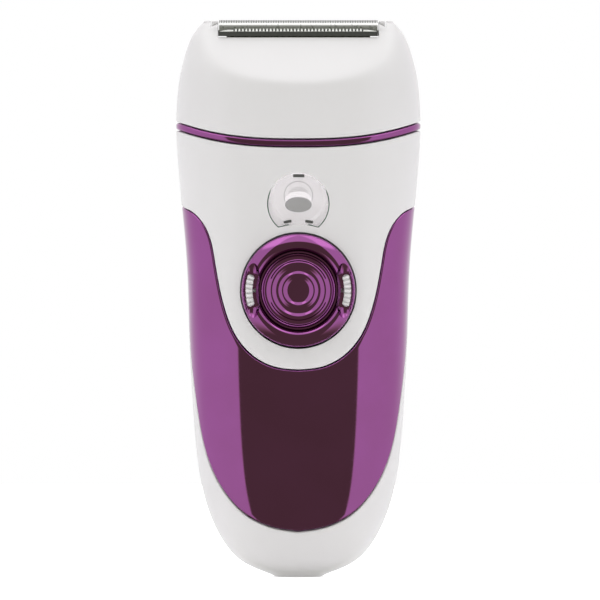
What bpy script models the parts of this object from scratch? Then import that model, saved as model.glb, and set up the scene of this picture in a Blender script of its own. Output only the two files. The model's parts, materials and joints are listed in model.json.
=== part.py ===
"""Cordless epilator with its shaver head fitted, as an assembly of separate solids.

The handle stands on the flat at its lower end. +Z runs up the handle, -Y is the front, where the
speed dial is, and the origin is the middle of the flat. Sizes are in millimetres, and MM turns
them into Blender's metres where a mesh or an object is made.
"""

import math

import bmesh
import bpy
import numpy as np
from mathutils import Matrix, Vector

MM = 0.001

# ---------------------------------------------------------------- driving dimensions
HEIGHT = 135.0
WALL = 2.0
GAP = 0.3
FULLNESS = 0.07  # how much a section bulges at its corners beyond an ellipse

# The handle's section at each height: height, half width, depth in front, depth behind.
BODY_STATIONS = (
    (0.0, 7.2, 5.2, 5.2),
    (0.5, 8.6, 6.2, 6.3),
    (2.4, 11.9, 8.4, 8.8),
    (4.4, 14.5, 10.1, 10.7),
    (8.2, 17.9, 12.5, 13.5),
    (14.1, 21.0, 14.6, 16.2),
    (19.9, 22.9, 15.8, 17.8),
    (29.6, 24.6, 16.9, 19.2),
    (45.0, 25.8, 17.5, 19.85),
    (60.0, 26.5, 17.8, 19.5),
    (76.0, 27.05, 17.8, 18.5),
    (92.0, 28.45, 17.3, 17.3),
    (107.0, 29.6, 16.6, 16.6),
    (112.0, 29.8, 16.4, 16.4),
)
# The shaver head's section: height, half width, half depth.
HEAD_STATIONS = (
    (103.0, 29.5, 16.5),
    (108.0, 29.65, 16.5),
    (113.0, 29.55, 16.5),
    (116.8, 29.3, 16.35),
    (120.7, 28.85, 15.6),
    (124.6, 28.0, 13.9),
    (128.5, 26.85, 11.1),
    (131.0, 25.75, 8.9),
    (133.0, 24.4, 6.9),
    (134.3, 23.1, 5.7),
    (134.8, 22.4, 5.2),
)
SCOOP_START = 119.5  # height where the slope under the foil leaves the head's face
SCOOP_DEPTH = 16.0
SCOOP_SLOPE = 0.9
SCOOP_FLOOR = 4.5  # half depth that the slope never goes under
SCOOP_BLEND = 1.6

# The seam between head and handle dips at the middle of the front and of the back.
SEAM_LOW = 104.0
SEAM_RISE = 4.2
SEAM_POWER = 2.6
COLLAR_HEIGHT = 1.9

# Edges of the chromed front panel, as (angle round the section from the front, height).
PANEL_TOP = (
    (0.0, 50.2), (11.8, 50.8), (20.2, 52.4), (26.9, 54.8), (32.8, 58.2), (38.1, 63.4), (41.3, 68.2),
    (43.4, 72.7), (44.9, 77.0), (46.7, 81.4), (50.5, 85.0), (57.4, 87.6), (70.0, 89.0), (90.0, 89.8),
    (112.0, 91.0), (122.0, 91.6),
)
PANEL_FOOT = (
    (0.0, 11.1), (15.4, 11.9), (25.7, 13.2), (35.3, 15.5), (44.3, 19.4), (55.0, 26.2), (62.0, 32.6),
    (69.7, 42.6), (79.0, 53.0), (90.0, 63.5), (103.0, 80.0), (113.0, 95.0), (121.0, 110.0),
)
SEAM_CLEAR = 0.17  # half of the gap along an edge of the panel
SCALE_ROUND = 24.0  # mean radius that turns an angle round the section into a length
AROUND = np.linspace(-180, 180, 41)[:-1]  # the angles of every section that closes on itself

# The dial and the light window above it.
DIAL_Z = 69.4
DIAL_R = 13.8
DIAL_HOLE_R = 14.1
WINDOW_Z = 90.3
WINDOW_R = 7.4
WINDOW_CLEAR_R = 16.0  # the window stops at this distance from the dial's axis
LIGHT_Z = 91.8
KEY_R = 11.9
KEY_WIDTH = 1.7
KEY_HALF_ANGLE = 18.6

# The screws that hold the back shell, as (x, z), and the button that lets the head go.
CASE_SCREWS = ((-9, 28), (9, 28), (-9, 80), (9, 80))
SCREW_HEAD_R = 2.2
SCREW_HEAD = 0.8
SCREW_SINK = 1.3  # depth of the screw's seat below the shell's face
SCREW_PLAY = 0.1  # space between the screw's head and its seat
RELEASE_Z = 95.5
RELEASE_HALF = (6.0, 2.7)  # half length and half height of the button's slot

# The drive.
SPINDLE_X = 0.0
MOTOR_X = -10.0
MODULE = 0.5
PINION_TEETH = 12
GEAR_TEETH = 28
ECCENTRICITY = 1.0  # distance of the crank pin from the spindle's axis

# The shaver head's cutting parts.
FOIL_HALF = 19.2
FOIL_REACH = 4.0  # half depth over the foil's legs
FOIL_SHEET = 0.3
FOIL_FOOT = 131.6
FOIL_SPRING = 133.2  # height where the foil's legs turn into its arch
SADDLE_Z = 130.7
EAR_X = 19.5
TOOTH_PITCH = 0.84
TOOTH_COUNT = 37
SLOT_HALF = 0.2  # half width of the slot between two teeth of the comb
FIN_PITCH = 3.4
FIN_COUNT = 10

# ---------------------------------------------------------------- colours
# Each one is (r, g, b), roughness, metallic.
COLOURS = {
    "white": ((0.80, 0.80, 0.79), 0.35, 0.0),
    "chrome": ((0.34, 0.06, 0.30), 0.12, 1.0),
    "steel": ((0.62, 0.62, 0.60), 0.25, 1.0),
    "dark_steel": ((0.20, 0.20, 0.20), 0.35, 1.0),
    "clear": ((0.80, 0.82, 0.82), 0.20, 0.0),
    "grey": ((0.35, 0.36, 0.37), 0.50, 0.0),
    "black": ((0.03, 0.03, 0.03), 0.50, 0.0),
    "nylon": ((0.85, 0.84, 0.78), 0.50, 0.0),
    "brass": ((0.75, 0.55, 0.25), 0.30, 1.0),
    "board": ((0.03, 0.20, 0.09), 0.50, 0.0),
    "cell": ((0.10, 0.25, 0.45), 0.40, 0.0),
    "rubber": ((0.08, 0.08, 0.08), 0.80, 0.0),
    "red": ((0.60, 0.04, 0.04), 0.50, 0.0),
}


def clear_scene():
    for obj in list(bpy.data.objects):
        bpy.data.objects.remove(obj, do_unlink=True)


def material(name):
    found = bpy.data.materials.get(name)
    if found:
        return found
    colour, roughness, metallic = COLOURS[name]
    made = bpy.data.materials.new(name)
    made.use_nodes = True
    shader = made.node_tree.nodes["Principled BSDF"]
    shader.inputs["Base Color"].default_value = (*colour, 1.0)
    shader.inputs["Roughness"].default_value = roughness
    shader.inputs["Metallic"].default_value = metallic
    return made


# ---------------------------------------------------------------- curves and sections
def natural_spline(xs, ys):
    """A function through the points whose slope and curvature are both continuous."""
    xs, ys = np.array(xs, float), np.array(ys, float)
    step = np.diff(xs)
    system = np.eye(len(xs))
    right = np.zeros(len(xs))
    for i in range(1, len(xs) - 1):
        system[i, i - 1 : i + 2] = step[i - 1], 2 * (step[i - 1] + step[i]), step[i]
        right[i] = 6 * ((ys[i + 1] - ys[i]) / step[i] - (ys[i] - ys[i - 1]) / step[i - 1])
    bend = np.linalg.solve(system, right)

    def value(x):
        i = int(np.clip(np.searchsorted(xs, x) - 1, 0, len(step) - 1))
        h, below, above = step[i], xs[i + 1] - x, x - xs[i]
        curved = (bend[i] * below**3 + bend[i + 1] * above**3) / (6 * h)
        return (
            curved
            + (ys[i] / h - bend[i] * h / 6) * below
            + (ys[i + 1] / h - bend[i + 1] * h / 6) * above
        )

    return value


def station_curves(stations):
    """One spline for each column of the stations, over the root of the height."""
    table = np.array(stations)
    roots = np.sqrt(table[:, 0])
    curves = [natural_spline(roots, column) for column in table[:, 1:].T]
    return lambda z: [curve(math.sqrt(max(z, 0.0))) for curve in curves]


body_sizes = station_curves(BODY_STATIONS)
head_sizes = station_curves(HEAD_STATIONS)


def section_point(angle, half_width, front, back):
    """A point of a section: angle 0 is the front, 90 the right side, 180 the back."""
    a = math.radians(angle)
    fullness = 1 + FULLNESS * math.sin(2 * a) ** 2
    depth = (front + back) / 2 + (front - back) / 2 * math.cos(a)
    return half_width * math.sin(a) * fullness, -depth * math.cos(a) * fullness


def body_point(angle, z):
    return Vector((*section_point(angle, *body_sizes(z)), z))


def scoop_depth(z):
    sloped = SCOOP_DEPTH - SCOOP_SLOPE * (z - SCOOP_START)
    spread = SCOOP_BLEND**2 / 4
    return (sloped + SCOOP_FLOOR + math.sqrt((sloped - SCOOP_FLOOR) ** 2 + spread)) / 2


def head_point(angle, z):
    """The head's surface: its section, cut back by the slope with a rounded crease."""
    half_width, depth = head_sizes(z)
    x, y = section_point(angle, half_width, depth, depth)
    near, limit = abs(y), scoop_depth(z)
    spread = SCOOP_BLEND**2 * min(1.0, near / 3.0) / 4
    cut = (near + limit - math.sqrt((near - limit) ** 2 + spread)) / 2
    return Vector((x, math.copysign(cut, y), z))


def surface_normal(surface, angle, z):
    """Outward normal of a surface at an angle and a height."""
    turn, rise = 0.05, 0.01
    around = surface(angle + turn, z) - surface(angle - turn, z)
    low, high = max(z - rise, 0.0), z + rise
    up = surface(angle, high) - surface(angle, low)
    return around.cross(up).normalized()


def front_y(x, z):
    """Depth of the handle's front face at a point of the front view."""
    low, high = 0.0, 90.0
    for _ in range(40):
        middle = (low + high) / 2
        if body_point(middle, z).x < abs(x):
            low = middle
        else:
            high = middle
    return body_point(low, z).y


def seam_height(angle):
    x, _ = section_point(angle, 1.0, 1.0, 1.0)
    return SEAM_LOW + SEAM_RISE * min(1.0, abs(x)) ** SEAM_POWER


def edge_curve(points, offset, samples=400):
    """(angles, heights) along a smooth edge, moved sideways by offset, for angles from 0 up."""
    table = np.array(points)
    length = np.concatenate([[0], np.cumsum(np.hypot(*(np.diff(table, axis=0) * [0.42, 1.0]).T))])
    angle, height = natural_spline(length, table[:, 0]), natural_spline(length, table[:, 1])
    along = np.linspace(0, length[-1], samples)
    flat = np.array([(math.radians(angle(t)) * SCALE_ROUND, height(t)) for t in along])
    flat[:, 0] = np.maximum.accumulate(flat[:, 0])
    tangent = np.gradient(flat, axis=0)
    tangent /= np.linalg.norm(tangent, axis=1)[:, None]
    moved = flat + offset * np.stack([-tangent[:, 1], tangent[:, 0]], axis=1)
    angles = np.maximum.accumulate(np.degrees(moved[:, 0] / SCALE_ROUND))
    angles[0] = 0.0
    return angles, moved[:, 1]


top_above = edge_curve(PANEL_TOP, SEAM_CLEAR)
top_below = edge_curve(PANEL_TOP, -SEAM_CLEAR)
foot_above = edge_curve(PANEL_FOOT, SEAM_CLEAR)
foot_below = edge_curve(PANEL_FOOT, -SEAM_CLEAR)


def at(curve, angle):
    return float(np.interp(abs(angle), *curve))


def seam_below(angle):
    return seam_height(angle) - 0.1


def cover_foot(angle):
    return max(at(top_above, angle), at(foot_above, angle))


def back_top(angle):
    return min(at(foot_below, angle), seam_below(angle)) if abs(angle) < 140 else seam_below(angle)


def spread_angles(heights, last, count):
    """Angles from -last to last, closer together where the edge is steep."""
    fine = np.linspace(0, last, 600)
    rise = np.array([heights(a) for a in fine])
    travel = np.hypot(np.radians(np.diff(fine)) * SCALE_ROUND, np.diff(rise) * 0.5)
    length = np.concatenate([[0], np.cumsum(travel)])
    half = np.interp(np.linspace(0, length[-1], count), length, fine)
    return np.concatenate([-half[:0:-1], half])


# ---------------------------------------------------------------- making objects
def add_object(name, mesh, colour, origin=(0, 0, 0)):
    """Links an object whose mesh is in millimetres of the part, with its own origin."""
    place = Vector(origin)
    mesh.transform(Matrix.Scale(MM, 4) @ Matrix.Translation(-place))
    mesh.materials.append(material(colour))
    mesh.shade_smooth()
    mesh.set_sharp_from_angle(angle=math.radians(35))
    obj = bpy.data.objects.new(name, mesh)
    obj.location = place * MM
    bpy.context.scene.collection.objects.link(obj)
    return obj


def mesh_from(name, points, faces):
    mesh = bpy.data.meshes.new(name)
    mesh.from_pydata([tuple(p) for p in points], [], faces)
    work = bmesh.new()
    work.from_mesh(mesh)
    bmesh.ops.recalc_face_normals(work, faces=work.faces)
    work.to_mesh(mesh)
    work.free()
    return mesh


def hide(obj):
    obj.hide_render = True
    obj.display_type = "WIRE"
    return obj


def boolean(obj, other, operation="DIFFERENCE", solver="EXACT"):
    """Cuts obj with a helper, or joins the helper to it."""
    modifier = obj.modifiers.new(operation.lower(), "BOOLEAN")
    modifier.operation = operation
    modifier.solver = solver
    modifier.object = hide(other)
    return obj


def bevel(obj, width, segments=2, angle=40):
    modifier = obj.modifiers.new("bevel", "BEVEL")
    modifier.width = width * MM
    modifier.segments = segments
    modifier.limit_method = "ANGLE"
    modifier.angle_limit = math.radians(angle)
    return obj


def box(name, colour, low, high, origin=(0, 0, 0)):
    work = bmesh.new()
    bmesh.ops.create_cube(work, size=1.0)
    low, high = Vector(low), Vector(high)
    for vert in work.verts:
        vert.co = low + Vector((high - low)[i] * (vert.co[i] + 0.5) for i in range(3))
    mesh = bpy.data.meshes.new(name)
    work.to_mesh(mesh)
    work.free()
    return add_object(name, mesh, colour, origin)


AXIS_TURN = {
    "z": Matrix.Identity(4),
    "y": Matrix.Rotation(math.radians(90), 4, "X"),  # the profile's height becomes -Y
    "x": Matrix.Rotation(math.radians(90), 4, "Y"),
}


def turned(name, colour, profile, centre, axis="z", segments=32, origin=None):
    """A turned solid. The profile lists (radius, height along the axis), a closed outline
    that either starts and ends on the axis or goes round a bore."""
    points, faces = [], []
    rings = []
    for radius, height in profile:
        if radius < 1e-6:
            rings.append([len(points)])
            points.append(Vector((0, 0, height)))
            continue
        rings.append(range(len(points), len(points) + segments))
        for k in range(segments):
            a = 2 * math.pi * k / segments
            points.append(Vector((radius * math.cos(a), radius * math.sin(a), height)))
    pairs = list(zip(rings, rings[1:]))
    if len(rings[0]) > 1:
        pairs.append((rings[-1], rings[0]))
    for one, two in pairs:
        if len(one) == 1 and len(two) == 1:
            continue
        for k in range(segments):
            n = (k + 1) % segments
            if len(one) == 1:
                faces.append((one[0], two[k], two[n]))
            elif len(two) == 1:
                faces.append((one[k], two[0], one[n]))
            else:
                faces.append((one[k], two[k], two[n], one[n]))
    place = Vector(centre)
    points = [place + AXIS_TURN[axis] @ p for p in points]
    return add_object(name, mesh_from(name, points, faces), colour, place if origin is None else origin)


def rod(name, colour, centre, radius, low, high, axis="z", bore=0.0, segments=24, origin=None):
    """A cylinder, or a tube when it has a bore, from low to high along its axis."""
    if bore:
        profile = [(bore, low), (radius, low), (radius, high), (bore, high)]
    else:
        profile = [(0, low), (radius, low), (radius, high), (0, high)]
    return turned(name, colour, profile, centre, axis, segments, origin)


def prism(name, colour, outline, low, high, axis="z", origin=(0, 0, 0)):
    """An outline extruded from low to high. The outline is (x, y) for axis z, (x, z) for axis y
    and (y, z) for axis x."""
    lift = {
        "z": lambda u, v, w: (u, v, w),
        "y": lambda u, v, w: (u, w, v),
        "x": lambda u, v, w: (w, u, v),
    }[axis]
    n = len(outline)
    points = [lift(*p, low) for p in outline] + [lift(*p, high) for p in outline]
    faces = [tuple(range(n)), tuple(range(n, 2 * n))]
    faces += [(k, (k + 1) % n, n + (k + 1) % n, n + k) for k in range(n)]
    return add_object(name, mesh_from(name, points, faces), colour, origin)


def arc_outline(inner, outer, half_angle, side, steps):
    """An arc slot about the dial's axis in the front view, on the side given by its sign."""
    angles = np.radians(np.linspace(-half_angle, half_angle, steps + 1))
    out = [(side * outer * math.cos(a), DIAL_Z + outer * math.sin(a)) for a in angles]
    back = [(side * inner * math.cos(a), DIAL_Z + inner * math.sin(a)) for a in angles[::-1]]
    return out + back


# ---------------------------------------------------------------- shells
def shell(name, colour, surface, angles, low, high, thickness, rows, power=1.0, closed_foot=False):
    """A wall that follows a surface between two edges, given as heights over the angle.

    The angles either run from one side edge to the other or, when they go the whole way
    round, close on themselves. A closed foot is filled across with a flat bottom."""
    full = len(angles) > 2 and abs(angles[-1] - angles[0]) > 300
    columns = len(angles)
    outer, inner = [], []
    for row in range(rows + 1):
        share = (row / rows) ** power
        for angle in angles:
            z = low(angle) + (high(angle) - low(angle)) * share
            point, normal = surface(angle, z), surface_normal(surface, angle, z)
            outer.append(point)
            inner.append(point - normal * thickness)
    if closed_foot:
        for k in range(columns):
            inner[k] = inner[k].copy()
            inner[k].z = thickness
    points = outer + inner
    shift = len(outer)
    last = columns if full else columns - 1
    faces = []
    for row in range(rows):
        for k in range(last):
            n = (k + 1) % columns
            one, two = row * columns, (row + 1) * columns
            faces.append((one + k, one + n, two + n, two + k))
            faces.append((shift + one + n, shift + one + k, shift + two + k, shift + two + n))
    top = rows * columns
    for k in range(last):
        n = (k + 1) % columns
        faces.append((top + k, top + n, shift + top + n, shift + top + k))
        if not closed_foot:
            faces.append((n, k, shift + k, shift + n))
    if closed_foot:
        faces.append(tuple(range(columns))[::-1])
        faces.append(tuple(range(shift, shift + columns)))
    if not full:
        for side in (0, columns - 1):
            for row in range(rows):
                one, two = row * columns + side, (row + 1) * columns + side
                faces.append((one, two, shift + two, shift + one))
    return add_object(name, mesh_from(name, points, faces), colour)


def surface_plug(name, colour, outline_reach, centre_z, depth, rings=3, steps=32):
    """A plate whose front follows the handle's face. outline_reach gives the distance of its
    edge from its centre, by the angle in the front view."""
    turns = [2 * math.pi * k / steps for k in range(steps)]
    points = [Vector((0, front_y(0, centre_z), centre_z))]
    faces = []
    for ring in range(1, rings + 1):
        for turn in turns:
            reach = outline_reach(turn) * ring / rings
            x, z = reach * math.cos(turn), centre_z + reach * math.sin(turn)
            points.append(Vector((x, front_y(x, z), z)))
    for k in range(steps):
        faces.append((0, 1 + k, 1 + (k + 1) % steps))
    for ring in range(rings - 1):
        one, two = 1 + ring * steps, 1 + (ring + 1) * steps
        for k in range(steps):
            n = (k + 1) % steps
            faces.append((one + k, two + k, two + n, one + n))
    rim = 1 + (rings - 1) * steps
    back = len(points)
    for k in range(steps):
        edge = points[rim + k]
        points.append(Vector((edge.x, edge.y + depth, edge.z)))
    for k in range(steps):
        n = (k + 1) % steps
        faces.append((rim + k, back + k, back + n, rim + n))
    centre = len(points)
    points.append(Vector((0, front_y(0, centre_z) + depth, centre_z)))
    faces += [(centre, back + (k + 1) % steps, back + k) for k in range(steps)]
    return add_object(name, mesh_from(name, points, faces), colour)


def window_reach(turn, shrink=0.0):
    """Distance of the light window's edge from its centre: a circle, cut by one about the dial."""
    circle = WINDOW_R - shrink
    clear = WINDOW_CLEAR_R + shrink
    drop = WINDOW_Z - DIAL_Z
    along = -math.sin(turn) * drop
    inside = along**2 - drop**2 + clear**2
    if along > 0 and inside > 0:
        return min(circle, along - math.sqrt(inside))
    return circle


def window_outline(grow):
    turns = [2 * math.pi * k / 32 for k in range(32)]
    reach = [window_reach(t, -grow) for t in turns]
    return [(r * math.cos(t), WINDOW_Z + r * math.sin(t)) for r, t in zip(reach, turns)]


def make_casing():
    """The handle's three shells and the collar under the head."""
    panel_end = next(a for a in np.arange(90, 122, 0.25) if at(top_below, a) - at(foot_above, a) < 1.6)
    cover_end = next(a for a in np.arange(90, 125, 0.25) if seam_below(a) - cover_foot(a) < 1.6)
    shell(
        "front_panel", "chrome", body_point,
        spread_angles(lambda a: at(top_below, a), panel_end, 15),
        lambda a: at(foot_above, a), lambda a: at(top_below, a), WALL, 6,
    )
    cover = shell(
        "front_cover", "white", body_point,
        spread_angles(cover_foot, cover_end, 15), cover_foot, seam_below, WALL, 5,
    )
    dial_axis = (0, 0, DIAL_Z)
    boolean(cover, rod("dial_hole_cutter", "white", dial_axis, DIAL_HOLE_R, 5, 30, "y", segments=36))
    boolean(cover, prism("window_cutter", "white", window_outline(GAP), -30, -5, "y"))
    back = shell(
        "back_shell", "white", body_point, AROUND, lambda a: 0.0, back_top, WALL, 7, 1.9, True,
    )
    boolean(back, rod("socket_cutter", "white", (0, 0, 0), 3.0, -2, 5))
    boolean(back, prism("release_cutter", "white", release_outline(GAP), 8, 30, "y"))
    for x, z in CASE_SCREWS:
        boolean(back, screw_cutter(x, z))
    shell(
        "collar_ring", "chrome", body_point, AROUND,
        lambda a: seam_height(a) + 0.2, lambda a: seam_height(a) + COLLAR_HEIGHT - 0.1, 1.8, 2,
    )


# ---------------------------------------------------------------- case screws and release button
def back_y(x, z):
    """Depth of the handle's back face at a point of the back view."""
    low, high = 90.0, 180.0
    for _ in range(40):
        middle = (low + high) / 2
        if body_point(middle, z).x > abs(x):
            low = middle
        else:
            high = middle
    return body_point(low, z).y


def release_outline(grow):
    """A slot with round ends in the back view."""
    half, radius = RELEASE_HALF[0] - RELEASE_HALF[1], RELEASE_HALF[1] + grow
    right = np.radians(np.linspace(-90, 90, 9))
    outline = [(half + radius * math.cos(a), RELEASE_Z + radius * math.sin(a)) for a in right]
    return outline + [(-x, 2 * RELEASE_Z - z) for x, z in outline]


def screw_cutter(x, z):
    """The stepped hole for a case screw."""
    seat = back_y(x, z) - SCREW_SINK
    wide, out = SCREW_HEAD_R + GAP, -seat - 6
    profile = [(0, -10), (1.3, -10), (1.3, -seat), (wide, -seat), (wide, out), (0, out)]
    return turned(f"screw_cutter_{x}_{z}", "steel", profile, (x, 0, z), "y", 16)


def make_screws():
    for number, (x, z) in enumerate(CASE_SCREWS, 1):
        under = back_y(x, z) - SCREW_SINK + SCREW_PLAY
        top = under + SCREW_HEAD
        profile = [(0, -8.2), (1.0, -8.2), (1.0, -under), (SCREW_HEAD_R, -under)]
        profile += [(SCREW_HEAD_R, -under - SCREW_HEAD / 2), (1.6, -top), (0, -top)]
        screw = turned(f"case_screw_{number}", "steel", profile, (x, 0, z), "y", 12)
        for k, (u, v) in enumerate(((1.3, 0.25), (0.25, 1.3))):
            low, high = (x - u, top - 0.5, z - v), (x + u, top + 1, z + v)
            boolean(screw, box(f"screw_slot_{number}_{k}", "steel", low, high))


def make_release():
    face = back_y(0, RELEASE_Z)
    place = (0, face, RELEASE_Z)
    button = prism("release_button", "white", release_outline(0), 12.6, face + 0.6, "y", place)
    flange = [(x * 1.14, RELEASE_Z + (z - RELEASE_Z) * 1.35) for x, z in release_outline(0)]
    boolean(button, prism("release_flange", "white", flange, 12.0, 13.4, "y"), "UNION")
    arm_low, arm_high = (-2.6, 12.2, 97), (2.6, 13.2, 109)
    boolean(button, box("release_arm", "white", arm_low, arm_high), "UNION")
    for k in range(5):
        x = -3.2 + 1.6 * k
        low, high = (x - 0.3, face + 0.25, RELEASE_Z - 1.6), (x + 0.3, face + 2, RELEASE_Z + 1.6)
        boolean(button, box(f"release_groove_{k}", "white", low, high))
    coil("release_spring", 2.0, 0.15, 3, (0, 10.1, RELEASE_Z), (0, 11.7, RELEASE_Z), 6)


def coil(name, radius, wire, turns, start, end, steps=10):
    """A compression spring between two points on its axis."""
    start, end = Vector(start), Vector(end)
    axis = (end - start).normalized()
    side = axis.orthogonal().normalized()
    other = axis.cross(side)
    line = bpy.data.curves.new(name, "CURVE")
    line.dimensions = "3D"
    line.bevel_depth = wire * MM
    line.bevel_resolution = 0
    line.use_fill_caps = True
    spline = line.splines.new("POLY")
    count = turns * steps + 1
    spline.points.add(count - 1)
    for k in range(count):
        a = 2 * math.pi * k / steps
        point = start.lerp(end, k / (count - 1)) + radius * (side * math.cos(a) + other * math.sin(a))
        spline.points[k].co = (*((point - start) * MM), 1)
    line.materials.append(material("steel"))
    obj = bpy.data.objects.new(name, line)
    obj.location = start * MM
    bpy.context.scene.collection.objects.link(obj)
    return obj


# ---------------------------------------------------------------- the dial
def ring_profile():
    """The dial's cup: skirt, rounded rim, inner wall and floor. Heights run towards the front."""
    skirt, face, floor, underside = 14.7, 17.9, 16.0, 14.9
    rim_centre, rim_half, rim_rise = 11.75, 2.05, 1.95
    rim = []
    for k in range(7):
        a = math.pi * k / 6
        rim.append((rim_centre + rim_half * math.cos(a), face + rim_rise * math.sin(a)))
    under = [(0, underside), (12.6, underside), (12.6, skirt), (DIAL_R, skirt)]
    return [*under, *rim, (9.4, face - 0.6), (9.4, floor), (0, floor)]


def cap_height(radius):
    """Height of the cap's face: a lip, two round ridges and a dished middle."""
    ridges = ((8.85, 0.42, 0.28), (6.5, 0.95, 0.85), (3.8, 0.80, 0.75))
    rise = sum(h * math.exp(-(((radius - r) / w) ** 2)) for r, h, w in ridges)
    return 17.75 + rise - 0.25 * math.exp(-((radius / 1.9) ** 2))


def make_dial():
    centre = (0, 0, DIAL_Z)
    ring = turned("dial_ring", "chrome", ring_profile(), centre, "y", 36)
    radii = [9.1, 8.85, 8.3, 7.5, 6.5, 5.2, 3.8, 2.6, 0.0]
    cap = [(0, 16.3), (9.1, 16.3)] + [(r, cap_height(r)) for r in radii]
    turned("dial_cap", "chrome", cap, centre, "y", 28)
    for side, word in ((-1, "left"), (1, "right")):
        scoop = scoop_cutter(side)
        boolean(ring, scoop)
        pocket = arc_outline(10.0, 13.05, KEY_HALF_ANGLE + 3.2, side, 8)
        boolean(ring, prism(f"key_pocket_{word}", "chrome", pocket, -25, -16.0, "y"))
        make_key(word, side)
        inner, outer = side * 10.1, side * (KEY_R - KEY_WIDTH / 2 - 0.1)
        coil(f"key_spring_{word}", 0.5, 0.1, 3, (inner, -16.9, DIAL_Z), (outer, -16.9, DIAL_Z), 6)
    shaft = [(0, 10.4), (2.0, 10.4), (2.0, 11.3), (3.0, 11.3), (3.0, 14.7), (0, 14.7)]
    turned("dial_shaft", "nylon", shaft, centre, "y", 24)
    rod("dial_wiper", "brass", centre, 6.0, 10.4, 10.9, "y", 2.2, 16)
    rod("dial_bearing", "grey", centre, 14.2, 11.6, 12.9, "y", 3.2, 24)


def scoop_cutter(side):
    """A finger scoop: an ellipsoid sunk into the dial's rim, longest along the rim."""
    mesh = bpy.data.meshes.new("scoop")
    work = bmesh.new()
    bmesh.ops.create_uvsphere(work, u_segments=16, v_segments=10, radius=1.0)
    for vert in work.verts:
        x, y, z = vert.co
        vert.co = Vector((side * 11.35 + x * 2.25, -20.2 + y * 2.7, DIAL_Z + z * 7.0))
    work.to_mesh(mesh)
    work.free()
    return add_object(f"scoop_cutter_{side}", mesh, "chrome")


def make_key(word, side):
    """A lock key: an arc-shaped block with ribs across its face."""
    inner, outer = KEY_R - KEY_WIDTH / 2, KEY_R + KEY_WIDTH / 2
    ribs, per_rib = 8, 4
    steps = ribs * per_rib
    points, faces = [], []
    for k in range(steps + 1):
        share = k / steps
        angle = math.radians(-KEY_HALF_ANGLE + 2 * KEY_HALF_ANGLE * share)
        face = -18.75 - 0.16 * math.cos(2 * math.pi * ribs * share)
        for radius, y in ((inner, -16.3), (outer, -16.3), (outer, face), (inner, face)):
            x, z = side * radius * math.cos(angle), DIAL_Z + radius * math.sin(angle)
            points.append(Vector((x, y, z)))
    for k in range(steps):
        for j in range(4):
            n = (j + 1) % 4
            faces.append((4 * k + j, 4 * k + n, 4 * k + 4 + n, 4 * k + 4 + j))
    faces += [(0, 1, 2, 3), tuple(4 * steps + j for j in (3, 2, 1, 0))]
    name = f"key_{word}"
    add_object(name, mesh_from(name, points, faces), "white", (side * KEY_R, -17.5, DIAL_Z))


# ---------------------------------------------------------------- the light
def make_light():
    surface_plug("light_window", "clear", window_reach, WINDOW_Z, 1.2)
    place = (0, 0, LIGHT_Z)
    bowl = [(2.8, 9.7), (5.8, 9.7), (5.8, 14.6), (5.3, 14.6), (3.4, 11.2), (2.8, 11.2)]
    turned("light_reflector", "nylon", bowl, place, "y", 20)
    dome = [(0, 9.6), (2.45, 9.6), (2.45, 12.4), (2.2, 13.4), (1.5, 14.3), (0.7, 14.75), (0, 14.85)]
    turned("light_emitting_diode", "clear", dome, place, "y", 14)


# ---------------------------------------------------------------- inside the handle
def tray_outline(half, wall, back, front, thickness):
    return [
        (-half, front), (-half + wall, front), (-half + wall, back), (half - wall, back),
        (half - wall, front), (half, front), (half, back + thickness), (-half, back + thickness),
    ]


def make_chassis():
    chassis = prism("chassis", "grey", tray_outline(19.2, 1.2, 8.0, -7.8, 1.2), 61, 88)
    lower = prism("chassis_lower", "grey", tray_outline(12.6, 1.2, 7.9, -7.7, 1.2), 13.5, 61.5)
    boolean(chassis, lower, "UNION")
    for x, z in CASE_SCREWS:
        reach = back_y(x + math.copysign(3, x), z - 3) - WALL - 1.1
        boss = [(0, -8.6), (3.0, -8.6), (3.0, -reach), (0, -reach)]
        post = turned(f"boss_{x}_{z}", "grey", boss, (x, 0, z), "y", 16)
        boolean(chassis, post, "UNION")
    for x, z in CASE_SCREWS:
        boolean(chassis, rod(f"boss_bore_{x}_{z}", "grey", (x, 0, z), 1.25, -25, -6, "y", segments=12))


def make_batteries():
    for side, word in ((-1, "left"), (1, "right")):
        centre = (side * 5.8, 1.5, 0)
        can = [(0, 15.6), (5.2, 15.6), (5.2, 59.4), (2.0, 59.4), (2.0, 60.2), (0, 60.2)]
        turned(f"battery_{word}", "cell", can, centre, segments=20)
        low, high = (side * 5.8 - 2.4, -0.5, 60.35), (side * 5.8 + 2.4, 3.5, 60.75)
        box(f"battery_tab_{word}", "brass", low, high)
        path = ((5.8, -0.9, 60.6), (5.8, -3.5, 61.2), (5.8, -5.8, 61.4), (5.8, -7.8, 61.4))
        colour = "red" if side > 0 else "black"
        lead(f"battery_lead_{word}", colour, [(side * x, y, z) for x, y, z in path])
    box("battery_link", "brass", (-9.5, -1.5, 14.9), (9.5, 4.5, 15.4))


def lead(name, colour, path):
    """A short insulated wire along a smooth line through the points of its route."""
    table = np.array(path)
    along = np.arange(len(path), dtype=float)
    curves = [natural_spline(along, column) for column in table.T]
    line = bpy.data.curves.new(name, "CURVE")
    line.dimensions = "3D"
    line.bevel_depth = 0.5 * MM
    line.bevel_resolution = 2
    line.use_fill_caps = True
    spline = line.splines.new("POLY")
    count = 10
    spline.points.add(count - 1)
    for k in range(count):
        t = along[-1] * k / (count - 1)
        spline.points[k].co = (*(curve(t) * MM for curve in curves), 1)
    line.materials.append(material(colour))
    bpy.context.scene.collection.objects.link(bpy.data.objects.new(name, line))


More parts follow.
